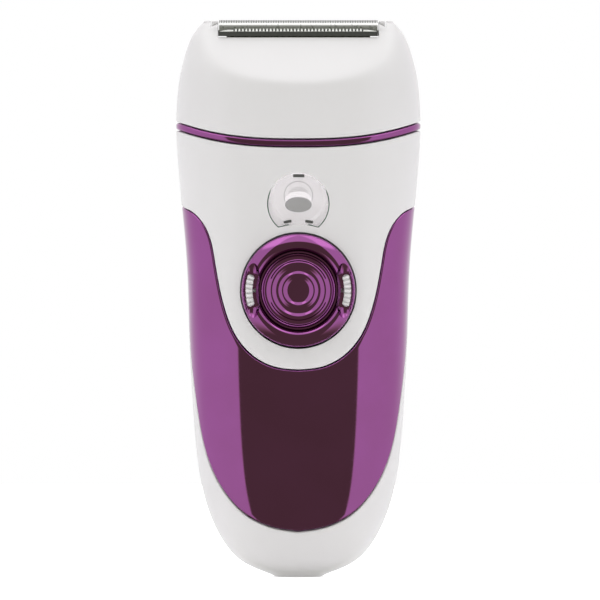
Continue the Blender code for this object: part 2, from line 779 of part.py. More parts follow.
def make_board():
    board = box("circuit_board", "board", (-16.5, -9.4, 34), (16.5, -8.2, 97))
    bevel(board, 1.0, 1)
    box("charge_chip", "black", (-4, -10.4, 40), (4, -9.5, 46))
    box("power_transistor", "black", (9, -10.6, 46), (13, -9.5, 52))


def gear_outline(teeth):
    """A spur gear's outline with straight-flanked teeth, thin enough to run with backlash."""
    pitch = MODULE * teeth / 2
    tip, root = pitch + 0.8 * MODULE, pitch - 1.1 * MODULE
    step = 2 * math.pi / teeth
    outline = []
    for k in range(teeth):
        for radius, share in ((root, -0.31), (tip, -0.09), (tip, 0.09), (root, 0.31)):
            a = (k + share) * step
            outline.append((radius * math.cos(a), radius * math.sin(a)))
    return outline


def placed(outline, x, y, turn):
    c, s = math.cos(turn), math.sin(turn)
    return [(x + u * c - v * s, y + u * s + v * c) for u, v in outline]


def make_drive():
    motor = (MOTOR_X, 0, 0)
    can = [(1.3, 87.6), (6.6, 87.6), (6.6, 64.3), (7.5, 64.3), (7.5, 88.6), (1.3, 88.6)]
    turned("motor_can", "steel", can, motor, segments=24)
    cap = [(1.3, 62.8), (7.5, 62.8), (7.5, 64.2), (1.3, 64.2)]
    turned("motor_end_cap", "black", cap, motor, segments=24)
    rod("motor_armature", "dark_steel", motor, 5.8, 68, 84, bore=1.1, segments=16)
    rod("motor_shaft", "steel", motor, 1.0, 61.5, 96, segments=16)
    teeth = gear_outline(PINION_TEETH)
    pinion = prism("motor_pinion", "brass", placed(teeth, MOTOR_X, 0, 0), 92.2, 95.4, origin=motor)
    boolean(pinion, rod("pinion_bore", "brass", motor, 1.1, 80, 100, segments=16))

    spindle = (SPINDLE_X, 0, 0)
    half_tooth = math.pi / GEAR_TEETH
    teeth = placed(gear_outline(GEAR_TEETH), SPINDLE_X, 0, math.pi + half_tooth)
    gear = prism("drive_gear", "nylon", teeth, 92.4, 95.2, origin=spindle)
    boolean(gear, rod("gear_bore", "nylon", spindle, 1.6, 80, 100, segments=20))
    shaft = [(0, 87), (1.5, 87), (1.5, 109), (2.7, 109), (2.7, 110.5), (0, 110.5)]
    crank = turned("drive_spindle", "steel", shaft, spindle, segments=20)
    pin_axis = (SPINDLE_X + ECCENTRICITY, 0, 0)
    pin = rod("eccentric_pin_core", "steel", pin_axis, 0.8, 110, 118.5, segments=14)
    boolean(crank, pin, "UNION")

    rod("lower_bush", "brass", spindle, 3.0, 88.9, 91.6, bore=1.6, segments=16)
    rod("upper_bush", "brass", spindle, 3.0, 99.2, 102.6, bore=1.6, segments=16)
    rod("spindle_seal", "rubber", spindle, 3.4, 102.9, 104.2, bore=1.65, segments=16)

    plate = box("gear_plate", "grey", (-18.6, -7.6, 88.9), (12, 7.6, 90.4))
    bevel(plate, 1.5, 2)
    boolean(plate, rod("plate_bush_hole", "grey", spindle, 3.2, 80, 100))
    boolean(plate, rod("plate_shaft_hole", "grey", motor, 2.4, 80, 100))
    for y, word in ((-4.6, "front"), (4.6, "back")):
        boolean(plate, rod(f"plate_screw_{word}", "grey", (MOTOR_X, y, 0), 1.0, 80, 100, segments=12))
        shape = [(0, 88.7), (0.8, 88.7), (0.8, 90.5), (1.6, 90.5), (1.6, 91.1), (0, 91.4)]
        turned(f"motor_screw_{word}", "steel", shape, (MOTOR_X, y, 0), segments=12)


def section_outline(surface, z, inset, steps=40):
    """The section at a height, moved in by inset."""
    outline = []
    for k in range(steps):
        angle = -180 + 360 * k / steps
        point, normal = surface(angle, z), surface_normal(surface, angle, z)
        flat = Vector((normal.x, normal.y)).normalized()
        outline.append((point.x - flat.x * inset, point.y - flat.y * inset))
    return outline


def make_deck():
    """The plate that closes the handle's top, with the spigot that the head sits over."""
    deck = prism("top_deck", "white", section_outline(body_point, 99.0, WALL + 0.4), 99.6, 101.2)
    outer = section_outline(body_point, 104.0, 4.6)
    inner = section_outline(body_point, 104.0, 6.1)
    spigot = prism("spigot", "white", outer, 100.5, 112.0)
    boolean(deck, spigot, "UNION")
    boolean(deck, prism("spigot_hollow", "white", inner, 101.2, 120))
    boolean(deck, rod("deck_bush_hole", "white", (0, 0, 0), 3.2, 90, 120))
    boolean(deck, box("deck_latch_slot", "white", (-3.4, 10.2, 90), (3.4, 18, 120)))
    boolean(deck, box("deck_spring_wall", "white", (-5, 8.6, 92.6), (5, 9.8, 100)), "UNION")


def make_socket():
    body = [
        (1.9, 0.5), (2.7, 0.5), (2.7, 2.4), (4.4, 2.4), (4.4, 12.2),
        (0, 12.2), (0, 11.0), (1.9, 11.0),
    ]
    turned("charge_socket", "black", body, (0, 0, 0), segments=18)
    pin = [(0, 3.2), (0.5, 3.4), (0.65, 3.8), (0.65, 10.9), (0, 10.9)]
    turned("charge_pin", "steel", pin, (0, 0, 0), segments=12)


# ---------------------------------------------------------------- the shaver head
def make_head():
    housing = head_block()
    cutters = [
        cavity_cutter(),
        box("saddle_cutter", "white", (-EAR_X, -30, SADDLE_Z), (EAR_X, 30, 140)),
        box("frame_notch", "white", (-21.3, -3.9, 130.9), (21.3, 3.9, 140)),
        box("cutter_well", "white", (-19.0, -3.3, 120), (19.0, 3.3, 140)),
    ]
    for cutter in cutters:
        boolean(housing, cutter, solver="MANIFOLD")
    plate = prism("head_base", "white", section_outline(head_point, 114.0, 2.3), 113.4, 114.9)
    boolean(plate, rod("base_hole", "white", (0, 0, 0), 4.5, 100, 130))


def head_block():
    """The head's outside as a solid block that stands on the collar's curved edge."""
    foot, top = COLLAR_HEIGHT + 0.25, HEAD_STATIONS[-1][0]
    points, faces = [], []
    rows = 9
    for row in range(rows + 1):
        share = math.sin(math.pi / 2 * row / rows)
        for angle in AROUND:
            low = seam_height(angle) + foot
            points.append(head_point(angle, low + (top - low) * share))
    columns = len(AROUND)
    for row in range(rows):
        for k in range(columns):
            n = (k + 1) % columns
            one, two = row * columns, (row + 1) * columns
            faces.append((one + k, one + n, two + n, two + k))
    faces.append(tuple(range(rows * columns, (rows + 1) * columns)))
    # A second ring, inside the foot, keeps the underside clear of the collar's top edge.
    inside = len(points)
    for k in range(columns):
        edge = points[k]
        points.append(Vector((edge.x * 0.84, edge.y * 0.75, edge.z)))
        n = (k + 1) % columns
        faces.append((n, k, inside + k, inside + n))
    faces.append(tuple(range(inside, inside + columns))[::-1])
    return add_object("head_housing", mesh_from("head_housing", points, faces), "white")


def cavity_cutter():
    """The hollow of the head: its own section moved in by the wall, closed under the slope."""
    points, faces = [], []
    levels = (100.0, 108.0, 113.0, 118.0, 122.0, 125.5)
    steps = 28
    for z in levels:
        source = max(z, 105.0)
        outline = section_outline(head_point, source, 1.9 if z < 121 else 2.6, steps)
        points += [Vector((x, y, z)) for x, y in outline]
    for row in range(len(levels) - 1):
        for k in range(steps):
            n = (k + 1) % steps
            one, two = row * steps, (row + 1) * steps
            faces.append((one + k, one + n, two + n, two + k))
    faces.append(tuple(range(steps))[::-1])
    faces.append(tuple(range((len(levels) - 1) * steps, len(levels) * steps)))
    return add_object("cavity_cutter", mesh_from("cavity_cutter", points, faces), "white")


def arch(half, foot, spring, crown, steps):
    """(y, z) points of an arch with straight legs, from its front foot over to its back one."""
    outline = [(-half, foot)]
    for k in range(steps + 1):
        a = math.pi * k / steps
        outline.append((-half * math.cos(a), spring + (crown - spring) * math.sin(a)))
    return outline + [(half, foot)]


def make_foil_unit():
    outer = arch(FOIL_REACH, FOIL_FOOT, FOIL_SPRING, HEIGHT, 14)
    inner = arch(FOIL_REACH - FOIL_SHEET, FOIL_FOOT, FOIL_SPRING, HEIGHT - FOIL_SHEET, 14)
    prism("foil", "steel", outer + inner[::-1], -FOIL_HALF, FOIL_HALF, "x")

    frame = box("foil_frame", "white", (-21.0, -3.45, 131.2), (21.0, 3.45, 134.7))
    window_low, window_high = (-18.6, -2.95, 120), (18.6, 2.95, 140)
    boolean(frame, box("frame_window", "white", window_low, window_high))
    boolean(frame, box("frame_step", "white", (-EAR_X, -10, 132.5), (EAR_X, 10, 140)))

    comb_outline = [
        (-5.7, 131.0), (-5.0, 131.0), (-5.0, 132.8), (-6.3, 132.8), (-6.3, 132.2), (-5.7, 132.0),
    ]
    comb = prism("trimmer_comb", "dark_steel", comb_outline, -FOIL_HALF, FOIL_HALF, "x")
    boolean(comb, comb_cutter())
    blade_outline = [(-4.75, 131.1), (-4.3, 131.1), (-4.3, 132.7), (-4.75, 132.7)]
    bevel(prism("trimmer_blade", "steel", blade_outline, -17.6, 17.6, "x"), 0.12, 1)


def comb_cutter():
    """All the slots between the comb's teeth as one helper: a bar with teeth of its own."""
    first = -TOOTH_PITCH * (TOOTH_COUNT - 1) / 2
    edge, tip = -9.0, -5.3
    outline = [(first - 2, edge - 1), (first - 2, edge)]
    for k in range(TOOTH_COUNT):
        x = first + TOOTH_PITCH * k
        low, high = x - SLOT_HALF, x + SLOT_HALF
        outline += [(low, edge), (low, tip), (high, tip), (high, edge)]
    outline += [(2 - first, edge), (2 - first, edge - 1)]
    return prism("comb_slots", "steel", outline, 131.9, 134, "z")


def fin_cutter():
    """The slots between the cutter's fins as one helper, made in the same way."""
    first = -FIN_PITCH * (FIN_COUNT - 1) / 2
    bar, foot, top = 135.15, 133.45, 136.0
    outline = [(-18.4, bar)]
    for k in range(FIN_COUNT):
        x = first + FIN_PITCH * k
        outline += [(x - 0.35, bar), (x - 0.35, foot), (x + 0.35, foot), (x + 0.35, bar)]
    outline += [(18.4, bar), (18.4, top), (-18.4, top)]
    return prism("fin_slots", "steel", outline, -8, 8, "y")


def make_cutter():
    """The reciprocating cutter: a finned block on a sprung carrier with a fork for the crank."""
    spring_line, crown, half, neck = 132.9, 134.35, 2.65, 1.9
    over = arch(half, spring_line, spring_line, crown, 10)[1:-1]
    outline = [(-neck, 128.6), (-neck, 132.4), *over, (neck, 132.4), (neck, 128.6)]
    boolean(prism("cutter_block", "dark_steel", outline, -17.4, 17.4, "x"), fin_cutter())
    carrier = box("cutter_carrier", "nylon", (-14, -2.4, 121.2), (14, 2.4, 124.6))
    boolean(carrier, box("fork", "nylon", (-5.2, -3.9, 115.4), (5.2, 3.9, 121.8)), "UNION")
    boolean(carrier, box("fork_slot", "nylon", (-3.2, -2.3, 110), (3.2, 2.3, 119.6)))
    for side, word in ((-1, "left"), (1, "right")):
        start, end = (side * 10, 0, 125.0), (side * 10, 0, 128.2)
        coil(f"cutter_spring_{word}", 1.5, 0.22, 4, start, end, 6)


def main():
    clear_scene()
    make_casing()
    make_screws()
    make_release()
    make_dial()
    make_light()
    make_chassis()
    make_batteries()
    make_board()
    make_drive()
    make_deck()
    make_socket()
    make_head()
    make_foil_unit()
    make_cutter()


main()
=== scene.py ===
"""The look of the epilator: fine surfaces, materials, a pale studio and the camera.

Sizes are in millimetres, as in the CAD, and MM turns them into metres."""

import json
import math

import bmesh
import bpy
import numpy as np
from mathutils import Matrix, Vector

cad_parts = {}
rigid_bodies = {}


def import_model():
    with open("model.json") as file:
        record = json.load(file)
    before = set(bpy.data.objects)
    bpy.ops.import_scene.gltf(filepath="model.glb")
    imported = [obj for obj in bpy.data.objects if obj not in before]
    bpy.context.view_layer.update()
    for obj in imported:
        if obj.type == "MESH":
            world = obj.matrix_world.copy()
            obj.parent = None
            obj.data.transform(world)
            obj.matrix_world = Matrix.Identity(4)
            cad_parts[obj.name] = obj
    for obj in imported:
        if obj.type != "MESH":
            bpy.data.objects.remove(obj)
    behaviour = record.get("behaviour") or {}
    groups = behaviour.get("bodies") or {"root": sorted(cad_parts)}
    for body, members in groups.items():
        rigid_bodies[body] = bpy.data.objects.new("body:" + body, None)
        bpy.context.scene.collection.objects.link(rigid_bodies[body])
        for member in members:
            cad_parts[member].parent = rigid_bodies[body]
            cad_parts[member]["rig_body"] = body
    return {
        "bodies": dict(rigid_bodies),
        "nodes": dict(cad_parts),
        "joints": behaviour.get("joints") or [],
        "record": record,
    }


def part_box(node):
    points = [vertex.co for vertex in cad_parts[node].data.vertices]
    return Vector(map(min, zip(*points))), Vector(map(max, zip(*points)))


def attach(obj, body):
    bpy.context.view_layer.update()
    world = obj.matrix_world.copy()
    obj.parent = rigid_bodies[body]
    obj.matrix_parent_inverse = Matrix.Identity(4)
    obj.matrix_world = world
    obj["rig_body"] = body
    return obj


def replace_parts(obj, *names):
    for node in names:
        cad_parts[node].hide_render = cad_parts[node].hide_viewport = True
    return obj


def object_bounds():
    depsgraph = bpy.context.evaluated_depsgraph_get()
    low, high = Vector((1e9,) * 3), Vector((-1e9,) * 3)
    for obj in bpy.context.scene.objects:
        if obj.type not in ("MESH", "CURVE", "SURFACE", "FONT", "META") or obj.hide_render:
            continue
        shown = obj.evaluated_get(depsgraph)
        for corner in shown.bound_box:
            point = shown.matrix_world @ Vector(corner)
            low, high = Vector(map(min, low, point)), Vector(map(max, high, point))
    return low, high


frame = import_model()
cad_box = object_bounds()

MM = 0.001
NODES = frame["nodes"]


# ---------------------------------------------------------------- surfaces
# The handle's section at each height: height, half width, depth in front, depth behind. They are the
# CAD's, except that the lowest ones make a rounder foot.
BODY_STATIONS = (
    (0.0, 5.4, 4.1, 4.1),
    (0.74, 7.0, 5.2, 5.2),
    (1.5, 9.0, 6.6, 6.7),
    (2.4, 11.2, 8.0, 8.3),
    (4.4, 14.5, 10.1, 10.7),
    (8.2, 17.9, 12.5, 13.5),
    (14.1, 21.0, 14.6, 16.2),
    (19.9, 22.9, 15.8, 17.8),
    (29.6, 24.6, 16.9, 19.2),
    (45.0, 25.8, 17.5, 19.85),
    (60.0, 26.5, 17.8, 19.5),
    (76.0, 27.05, 17.8, 18.5),
    (92.0, 28.45, 17.3, 17.3),
    (107.0, 29.6, 16.6, 16.6),
    (112.0, 29.8, 16.4, 16.4),
)
# The shaver head's section: height, half width, half depth.
HEAD_STATIONS = (
    (103.0, 29.5, 16.5),
    (108.0, 29.65, 16.5),
    (113.0, 29.55, 16.5),
    (116.8, 29.3, 16.35),
    (120.7, 28.85, 15.6),
    (124.6, 28.0, 13.9),
    (128.5, 26.85, 11.1),
    (131.0, 25.75, 8.9),
    (133.0, 24.4, 6.9),
    (134.3, 23.1, 5.7),
    (134.8, 22.4, 5.2),
)
FULLNESS = 0.07  # how much a section bulges at its corners beyond an ellipse
SCOOP_START = 119.5  # height where the slope under the foil leaves the head's face
SCOOP_DEPTH = 16.0
SCOOP_SLOPE = 0.9
SCOOP_FLOOR = 4.5  # half depth that the slope never goes under
FLOOR_BLEND = 1.6
SCOOP_BLEND = 1.2
SEAM_LOW, SEAM_RISE, SEAM_POWER = 104.0, 4.2, 2.6
COLLAR_HEIGHT = 1.9
WALL = 2.0

# Edges of the chromed front panel, as (angle round the section from the front, height).
PANEL_TOP = (
    (0.0, 50.2), (11.8, 50.8), (20.2, 52.4), (26.9, 54.8), (32.8, 58.2), (38.1, 63.4), (41.3, 68.2),
    (43.4, 72.7), (44.9, 77.0), (46.7, 81.4), (50.5, 85.0), (57.4, 87.6), (70.0, 89.0), (90.0, 89.8),
    (112.0, 91.0), (122.0, 91.6),
)
PANEL_FOOT = (
    (0.0, 11.1), (15.4, 11.9), (25.7, 13.2), (35.3, 15.5), (44.3, 19.4), (55.0, 26.2), (62.0, 32.6),
    (69.7, 42.6), (79.0, 53.0), (90.0, 63.5), (103.0, 80.0), (113.0, 95.0), (121.0, 110.0),
)
SEAM_CLEAR = 0.14  # half of the gap along an edge of the panel
SCALE_ROUND = 24.0  # mean radius that turns an angle round the section into a length

# Fittings on the front and the back.
DIAL_Z, DIAL_R, DIAL_HOLE_R = 69.4, 13.8, 14.1
WINDOW_Z, WINDOW_R, WINDOW_CLEAR_R = 90.3, 7.4, 16.0
KEY_R, KEY_WIDTH, KEY_HALF_ANGLE = 11.9, 1.7, 18.6
RELEASE_Z, RELEASE_HALF = 95.5, (6.0, 2.7)

# The light window's slots (x, z, width, height, turn) and small notches (x only).
SLOTS = ((0.1, 97.05, 2.8, 0.8, 0.0), (-2.6, 86.0, 2.0, 0.75, 9.0), (2.6, 86.0, 2.0, 0.75, -9.0))
NOTCHES = (-3.4, -1.6, 1.6, 3.4)

# The cutting parts.
FOIL_HALF, FOIL_REACH, FOIL_SHEET = 19.2, 4.0, 0.12
FOIL_FOOT, FOIL_SPRING, FOIL_TOP = 131.9, 133.2, 135.0
ETCHED_FROM = 134.2  # height above which the foil has its slots
BRIGHT_FROM, BRIGHT_TO = 133.7, 134.33  # the foil's plain bright band
SLOT_PITCH = 0.6
EAR_X, SADDLE_Z = 19.5, 130.7
TOOTH_PITCH, TOOTH_COUNT = 0.84, 37
TOOTH_FOOT, TOOTH_TIP = 132.12, 132.8
ABOVE_ALL = 140.0  # a height over the whole object

# The studio.
SOFTBOX_START = 34.0  # degrees from the camera's direction to the edge of each side light
SOFTBOX_LEVEL = 0.88
SIDE_SHADE = 0.42  # how much weaker the sides are for matt surfaces
TOP_LEVEL = 3.7
TOP_GLOSS = 1.75  # what glossy surfaces see of the top light
FRONT_LEVEL = 0.17
BACK_LEVEL = 0.9
CAMERA_DISTANCE = 3.0
VIEW_HEIGHT = 0.14555  # how much the picture takes in at the object, in metres


def spline(xs, ys):
    """A natural cubic spline that takes arrays."""
    xs, ys = np.array(xs, float), np.array(ys, float)
    step = np.diff(xs)
    system, right = np.eye(len(xs)), np.zeros(len(xs))
    for i in range(1, len(xs) - 1):
        system[i, i - 1 : i + 2] = step[i - 1], 2 * (step[i - 1] + step[i]), step[i]
        right[i] = 6 * ((ys[i + 1] - ys[i]) / step[i] - (ys[i] - ys[i - 1]) / step[i - 1])
    bend = np.linalg.solve(system, right)

    def value(x):
        x = np.asarray(x, float)
        i = np.clip(np.searchsorted(xs, x) - 1, 0, len(step) - 1)
        h, below, above = step[i], xs[i + 1] - x, x - xs[i]
        curved = (bend[i] * below**3 + bend[i + 1] * above**3) / (6 * h)
        linear = (ys[i] / h - bend[i] * h / 6) * below + (ys[i + 1] / h - bend[i + 1] * h / 6) * above
        return curved + linear

    return value


def station_curves(stations):
    table = np.array(stations)
    curves = [spline(np.sqrt(table[:, 0]), column) for column in table[:, 1:].T]
    return lambda z: [curve(np.sqrt(np.maximum(z, 0.0))) for curve in curves]


body_sizes, head_sizes = station_curves(BODY_STATIONS), station_curves(HEAD_STATIONS)


def section(angle, half_width, front, back):
    """A point of a section: angle 0 is the front, 90 the right side, 180 the back."""
    a = np.radians(angle)
    fullness = 1 + FULLNESS * np.sin(2 * a) ** 2
    depth = (front + back) / 2 + (front - back) / 2 * np.cos(a)
    return half_width * np.sin(a) * fullness, -depth * np.cos(a) * fullness


def body_surface(angle, z):
    x, y = section(angle, *body_sizes(z))
    return np.stack([x, y, z + 0 * x], axis=-1)


def head_surface(angle, z):
    """The head's section, cut back by the slope under the foil with a rounded crease."""
    half_width, depth = head_sizes(z)
    x, y = section(angle, half_width, depth, depth)
    slope = SCOOP_DEPTH - SCOOP_SLOPE * (z - SCOOP_START)
    limit = (slope + SCOOP_FLOOR + np.sqrt((slope - SCOOP_FLOOR) ** 2 + FLOOR_BLEND**2 / 4)) / 2
    near = np.abs(y)
    spread = SCOOP_BLEND**2 * np.minimum(1.0, near / 3.0) / 4
    cut = (near + limit - np.sqrt((near - limit) ** 2 + spread)) / 2
    return np.stack([x, np.sign(y) * cut, z + 0 * x], axis=-1)


def normals(surface, angle, z):
    around = surface(angle + 0.05, z) - surface(angle - 0.05, z)
    up = surface(angle, z + 0.01) - surface(angle, np.maximum(z - 0.01, 0.0))
    n = np.cross(around, up)
    return n / np.linalg.norm(n, axis=-1, keepdims=True)


def front_y(x, z):
    """Depth of the handle's front at points of the front view."""
    low, high = np.zeros_like(x), np.full_like(x, 90.0)
    for _ in range(40):
        middle = (low + high) / 2
        inside = body_surface(middle, z)[..., 0] < np.abs(x)
        low, high = np.where(inside, middle, low), np.where(inside, high, middle)
    return body_surface(low, z)[..., 1]


def edge(points, offset, samples=600):
    """Heights over the angle of a smooth edge that is moved sideways by offset."""
    table = np.array(points)
    length = np.concatenate([[0], np.cumsum(np.hypot(*(np.diff(table, axis=0) * [0.42, 1.0]).T))])
    along = np.linspace(0, length[-1], samples)
    turn, height = spline(length, table[:, 0])(along), spline(length, table[:, 1])(along)
    flat = np.stack([np.radians(turn) * SCALE_ROUND, height], axis=1)
    flat[:, 0] = np.maximum.accumulate(flat[:, 0])
    tangent = np.gradient(flat, axis=0)
    tangent /= np.linalg.norm(tangent, axis=1)[:, None]
    moved = flat + offset * np.stack([-tangent[:, 1], tangent[:, 0]], axis=1)
    angles = np.maximum.accumulate(np.degrees(moved[:, 0] / SCALE_ROUND))
    angles[0] = 0.0
    return lambda a: np.interp(np.abs(a), angles, moved[:, 1])


def seam(angle):
    x = np.abs(section(angle, 1.0, 1.0, 1.0)[0])
    return SEAM_LOW + SEAM_RISE * np.minimum(1.0, x) ** SEAM_POWER


def spread(heights, last, count):
    """Angles from -last to last, closer together where an edge is steep."""
    fine = np.linspace(0, last, 900)
    travel = np.hypot(np.radians(np.diff(fine)) * SCALE_ROUND, np.diff(heights(fine)) * 0.8)
    length = np.concatenate([[0], np.cumsum(travel)])
    half = np.interp(np.linspace(0, length[-1], count), length, fine)
    return np.concatenate([-half[:0:-1], half])


# ---------------------------------------------------------------- mesh helpers
def new_object(name, points, faces, smooth=35.0):
    mesh = bpy.data.meshes.new(name)
    mesh.from_pydata([tuple(map(float, p)) for p in points], [], faces)
    work = bmesh.new()
    work.from_mesh(mesh)
    bmesh.ops.recalc_face_normals(work, faces=work.faces)
    work.to_mesh(mesh)
    work.free()
    mesh.transform(Matrix.Scale(MM, 4))
    mesh.shade_smooth()
    mesh.set_sharp_from_angle(angle=math.radians(smooth))
    obj = bpy.data.objects.new(name, mesh)
    bpy.context.scene.collection.objects.link(obj)
    return obj


def ride_along(obj, look, node):
    """A piece that goes with a CAD node's body without replacing the node."""
    obj.data.materials.clear()
    obj.data.materials.append(look)
    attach(obj, NODES[node]["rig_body"])
    return obj


def finish_piece(obj, node, look):
    """The piece takes the place and the body of a CAD node, and gets the given material."""
    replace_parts(ride_along(obj, look, node), node)
    return obj


def cut(obj, *cutters):
    """Cuts obj with helpers, applies the cuts and removes the helpers."""
    for cutter in cutters:
        modifier = obj.modifiers.new("cut", "BOOLEAN")
        modifier.operation = "DIFFERENCE"
        modifier.object = cutter
        modifier.solver = "EXACT"
    settle(obj)
    for cutter in cutters:
        bpy.data.objects.remove(cutter, do_unlink=True)


def settle(obj):
    """Applies an object's modifiers."""
    bpy.context.view_layer.update()
    evaluated = obj.evaluated_get(bpy.context.evaluated_depsgraph_get())
    mesh = bpy.data.meshes.new_from_object(evaluated)
    obj.modifiers.clear()
    obj.data = mesh
    mesh.shade_smooth()
    mesh.set_sharp_from_angle(angle=math.radians(35))


def soften(obj, width, segments=3, angle=40):
    """Rounds an object's edges, keeping its faces flat."""
    modifier = obj.modifiers.new("soften", "BEVEL")
    modifier.width = width * MM
    modifier.segments = segments
    modifier.limit_method = "ANGLE"
    modifier.angle_limit = math.radians(angle)
    modifier.use_clamp_overlap = True
    modifier.harden_normals = True
    return obj


def lathe(name, profile, centre, segments=96, closed=False):
    """A turned piece about -Y: (radius, distance to the front) pairs from the back to the axis."""
    points, faces, rings = [], [], []
    turns = np.linspace(0, 2 * math.pi, segments + 1)[:-1]
    for radius, out in profile:
        if radius < 1e-6:
            rings.append([len(points)])
            points.append((centre[0], centre[1] - out, centre[2]))
            continue
        rings.append(range(len(points), len(points) + segments))
        points += [
            (centre[0] + radius * math.cos(t), centre[1] - out, centre[2] + radius * math.sin(t))
            for t in turns
        ]
    pairs = list(zip(rings, rings[1:])) + ([(rings[-1], rings[0])] if closed else [])
    for one, two in pairs:
        for k in range(segments):
            n = (k + 1) % segments
            if len(one) == 1 and len(two) == 1:
                break
            if len(one) == 1:
                faces.append((one[0], two[k], two[n]))
            elif len(two) == 1:
                faces.append((one[k], two[0], one[n]))
            else:
                faces.append((one[k], two[k], two[n], one[n]))
    return new_object(name, points, faces)


def block(name, low, high):
    x0, y0, z0 = low
    x1, y1, z1 = high
    points = [(x, y, z) for x in (x0, x1) for y in (y0, y1) for z in (z0, z1)]
    faces = [(0, 1, 3, 2), (4, 6, 7, 5), (0, 4, 5, 1), (2, 3, 7, 6), (0, 2, 6, 4), (1, 5, 7, 3)]
    return new_object(name, points, faces)


def extrude(name, outline, low, high, axis):
    place = {
        "x": lambda u, v, w: (w, u, v),
        "y": lambda u, v, w: (u, w, v),
        "z": lambda u, v, w: (u, v, w),
    }[axis]
    n = len(outline)
    points = [place(*p, low) for p in outline] + [place(*p, high) for p in outline]
    faces = [tuple(range(n)), tuple(range(n, 2 * n))]
    faces += [(k, (k + 1) % n, n + (k + 1) % n, n + k) for k in range(n)]
    return new_object(name, points, faces)


# ---------------------------------------------------------------- materials
class Look:
    """A Principled material whose roughness, bump and colour come from noise at real scales."""

    def __init__(self, name, colour, roughness, metallic=0.0, **shader):
        self.material = bpy.data.materials.new(name)
        self.material.use_nodes = True
        self.nodes = self.material.node_tree.nodes
        self.links = self.material.node_tree.links
        self.shader = self.nodes["Principled BSDF"]
        self.shader.inputs["Base Color"].default_value = (*colour, 1.0)
        self.shader.inputs["Roughness"].default_value = roughness
        self.shader.inputs["Metallic"].default_value = metallic
        for socket, value in shader.items():
            self.shader.inputs[socket.replace("_", " ")].default_value = value
        self.coords = self.nodes.new("ShaderNodeTexCoord").outputs["Object"]
        self.height = None

    def noise(self, size_mm, detail=3.0, stretch=(1, 1, 1)):
        """A noise whose features are about size_mm across."""
        mapping = self.nodes.new("ShaderNodeMapping")
        mapping.inputs["Scale"].default_value = [s / (size_mm * MM) for s in stretch]
        self.links.new(self.coords, mapping.inputs["Vector"])
        texture = self.nodes.new("ShaderNodeTexNoise")
        texture.inputs["Scale"].default_value = 1.0
        texture.inputs["Detail"].default_value = detail
        self.links.new(mapping.outputs["Vector"], texture.inputs["Vector"])
        return texture.outputs["Fac"]

    def spread(self, source, low, high, start=0.35, end=0.65):
        """The source's range from start to end, laid over the range from low to high."""
        node = self.nodes.new("ShaderNodeMapRange")
        node.inputs["From Min"].default_value = start
        node.inputs["From Max"].default_value = end
        node.inputs["To Min"].default_value = low
        node.inputs["To Max"].default_value = high
        self.links.new(source, node.inputs["Value"])
        return node.outputs["Result"]

    def product(self, one, two):
        """One output times another."""
        node = self.nodes.new("ShaderNodeMath")
        node.operation = "MULTIPLY"
        self.links.new(one, node.inputs[0])
        self.links.new(two, node.inputs[1])
        return node.outputs[0]

    def rough(self, size_mm, low, high, **kw):
        roughness = self.spread(self.noise(size_mm, **kw), low, high)
        self.links.new(roughness, self.shader.inputs["Roughness"])
        return self

    def tint(self, size_mm, dark, light, **kw):
        self.mix(self.spread(self.noise(size_mm, **kw), 0.0, 1.0), dark, light)
        return self

    def colour_mix(self, factor, dark, light):
        """A colour between two, each one either a colour or the output of another mix."""
        node = self.nodes.new("ShaderNodeMix")
        node.data_type = "RGBA"
        self.links.new(factor, node.inputs["Factor"])
        for socket, colour in (("A", dark), ("B", light)):
            if isinstance(colour, tuple):
                node.inputs[socket].default_value = (*colour, 1.0)
            else:
                self.links.new(colour, node.inputs[socket])
        return node.outputs["Result"]

    def mix(self, factor, dark, light):
        self.links.new(self.colour_mix(factor, dark, light), self.shader.inputs["Base Color"])

    def bump(self, source, depth_mm, strength=1.0):
        node = self.nodes.new("ShaderNodeBump")
        node.inputs["Strength"].default_value = strength
        node.inputs["Distance"].default_value = depth_mm * MM
        self.links.new(source, node.inputs["Height"])
        if self.height:
            self.links.new(self.height, node.inputs["Normal"])
        self.height = node.outputs["Normal"]
        self.links.new(self.height, self.shader.inputs["Normal"])
        return self


def white_plastic(name, tone=0.56):
    look = Look(name, (tone, tone, tone), 0.3, Coat_Weight=0.25, Coat_Roughness=0.12)
    look.tint(30.0, (tone * 1.0, tone * 0.975, tone * 1.0), (tone * 1.01, tone * 0.985, tone * 1.01))
    look.rough(6.0, 0.29, 0.33)
    look.bump(look.noise(0.35, 2.0), 0.0015)
    return look.material


def purple_chrome(name):
    look = Look(name, (0.34, 0.10, 0.31), 0.06, 1.0)
    look.tint(14.0, (0.33, 0.10, 0.30), (0.35, 0.105, 0.33))
    look.rough(1.6, 0.045, 0.075)
    look.bump(look.noise(26.0, 1.0), 0.05)
    return look.material


def steel(name, tone=0.6, roughness=0.25, grain=(1, 1, 12)):
    look = Look(name, (tone, tone, tone * 0.98), roughness, 1.0)
    look.tint(3.0, (tone * 0.88,) * 3, (tone * 1.05,) * 3)
    look.rough(0.8, roughness * 0.8, roughness * 1.3, stretch=grain)
    look.bump(look.noise(0.5, 3.0, grain), 0.004)
    return look.material


def moulded(name, colour, roughness=0.5, glow=0.0):
    """Moulded plastic. The glow stands for the light that reaches it through a clear cover."""
    dark = tuple(c * 0.88 for c in colour)
    look = Look(name, colour, roughness, Emission_Color=(*colour, 1.0), Emission_Strength=glow)
    look.tint(5.0, dark, colour)
    look.rough(1.5, roughness * 0.85, roughness * 1.15)
    look.bump(look.noise(0.3, 3.0), 0.006)
    return look.material


def clear(name, roughness=0.25, transmission=0.9):
    look = Look(name, (0.92, 0.90, 0.92), roughness, IOR=1.49, Transmission_Weight=transmission)
    look.rough(0.9, roughness * 0.8, roughness * 1.2)
    look.bump(look.noise(0.45, 2.0), 0.01)
    return look.material


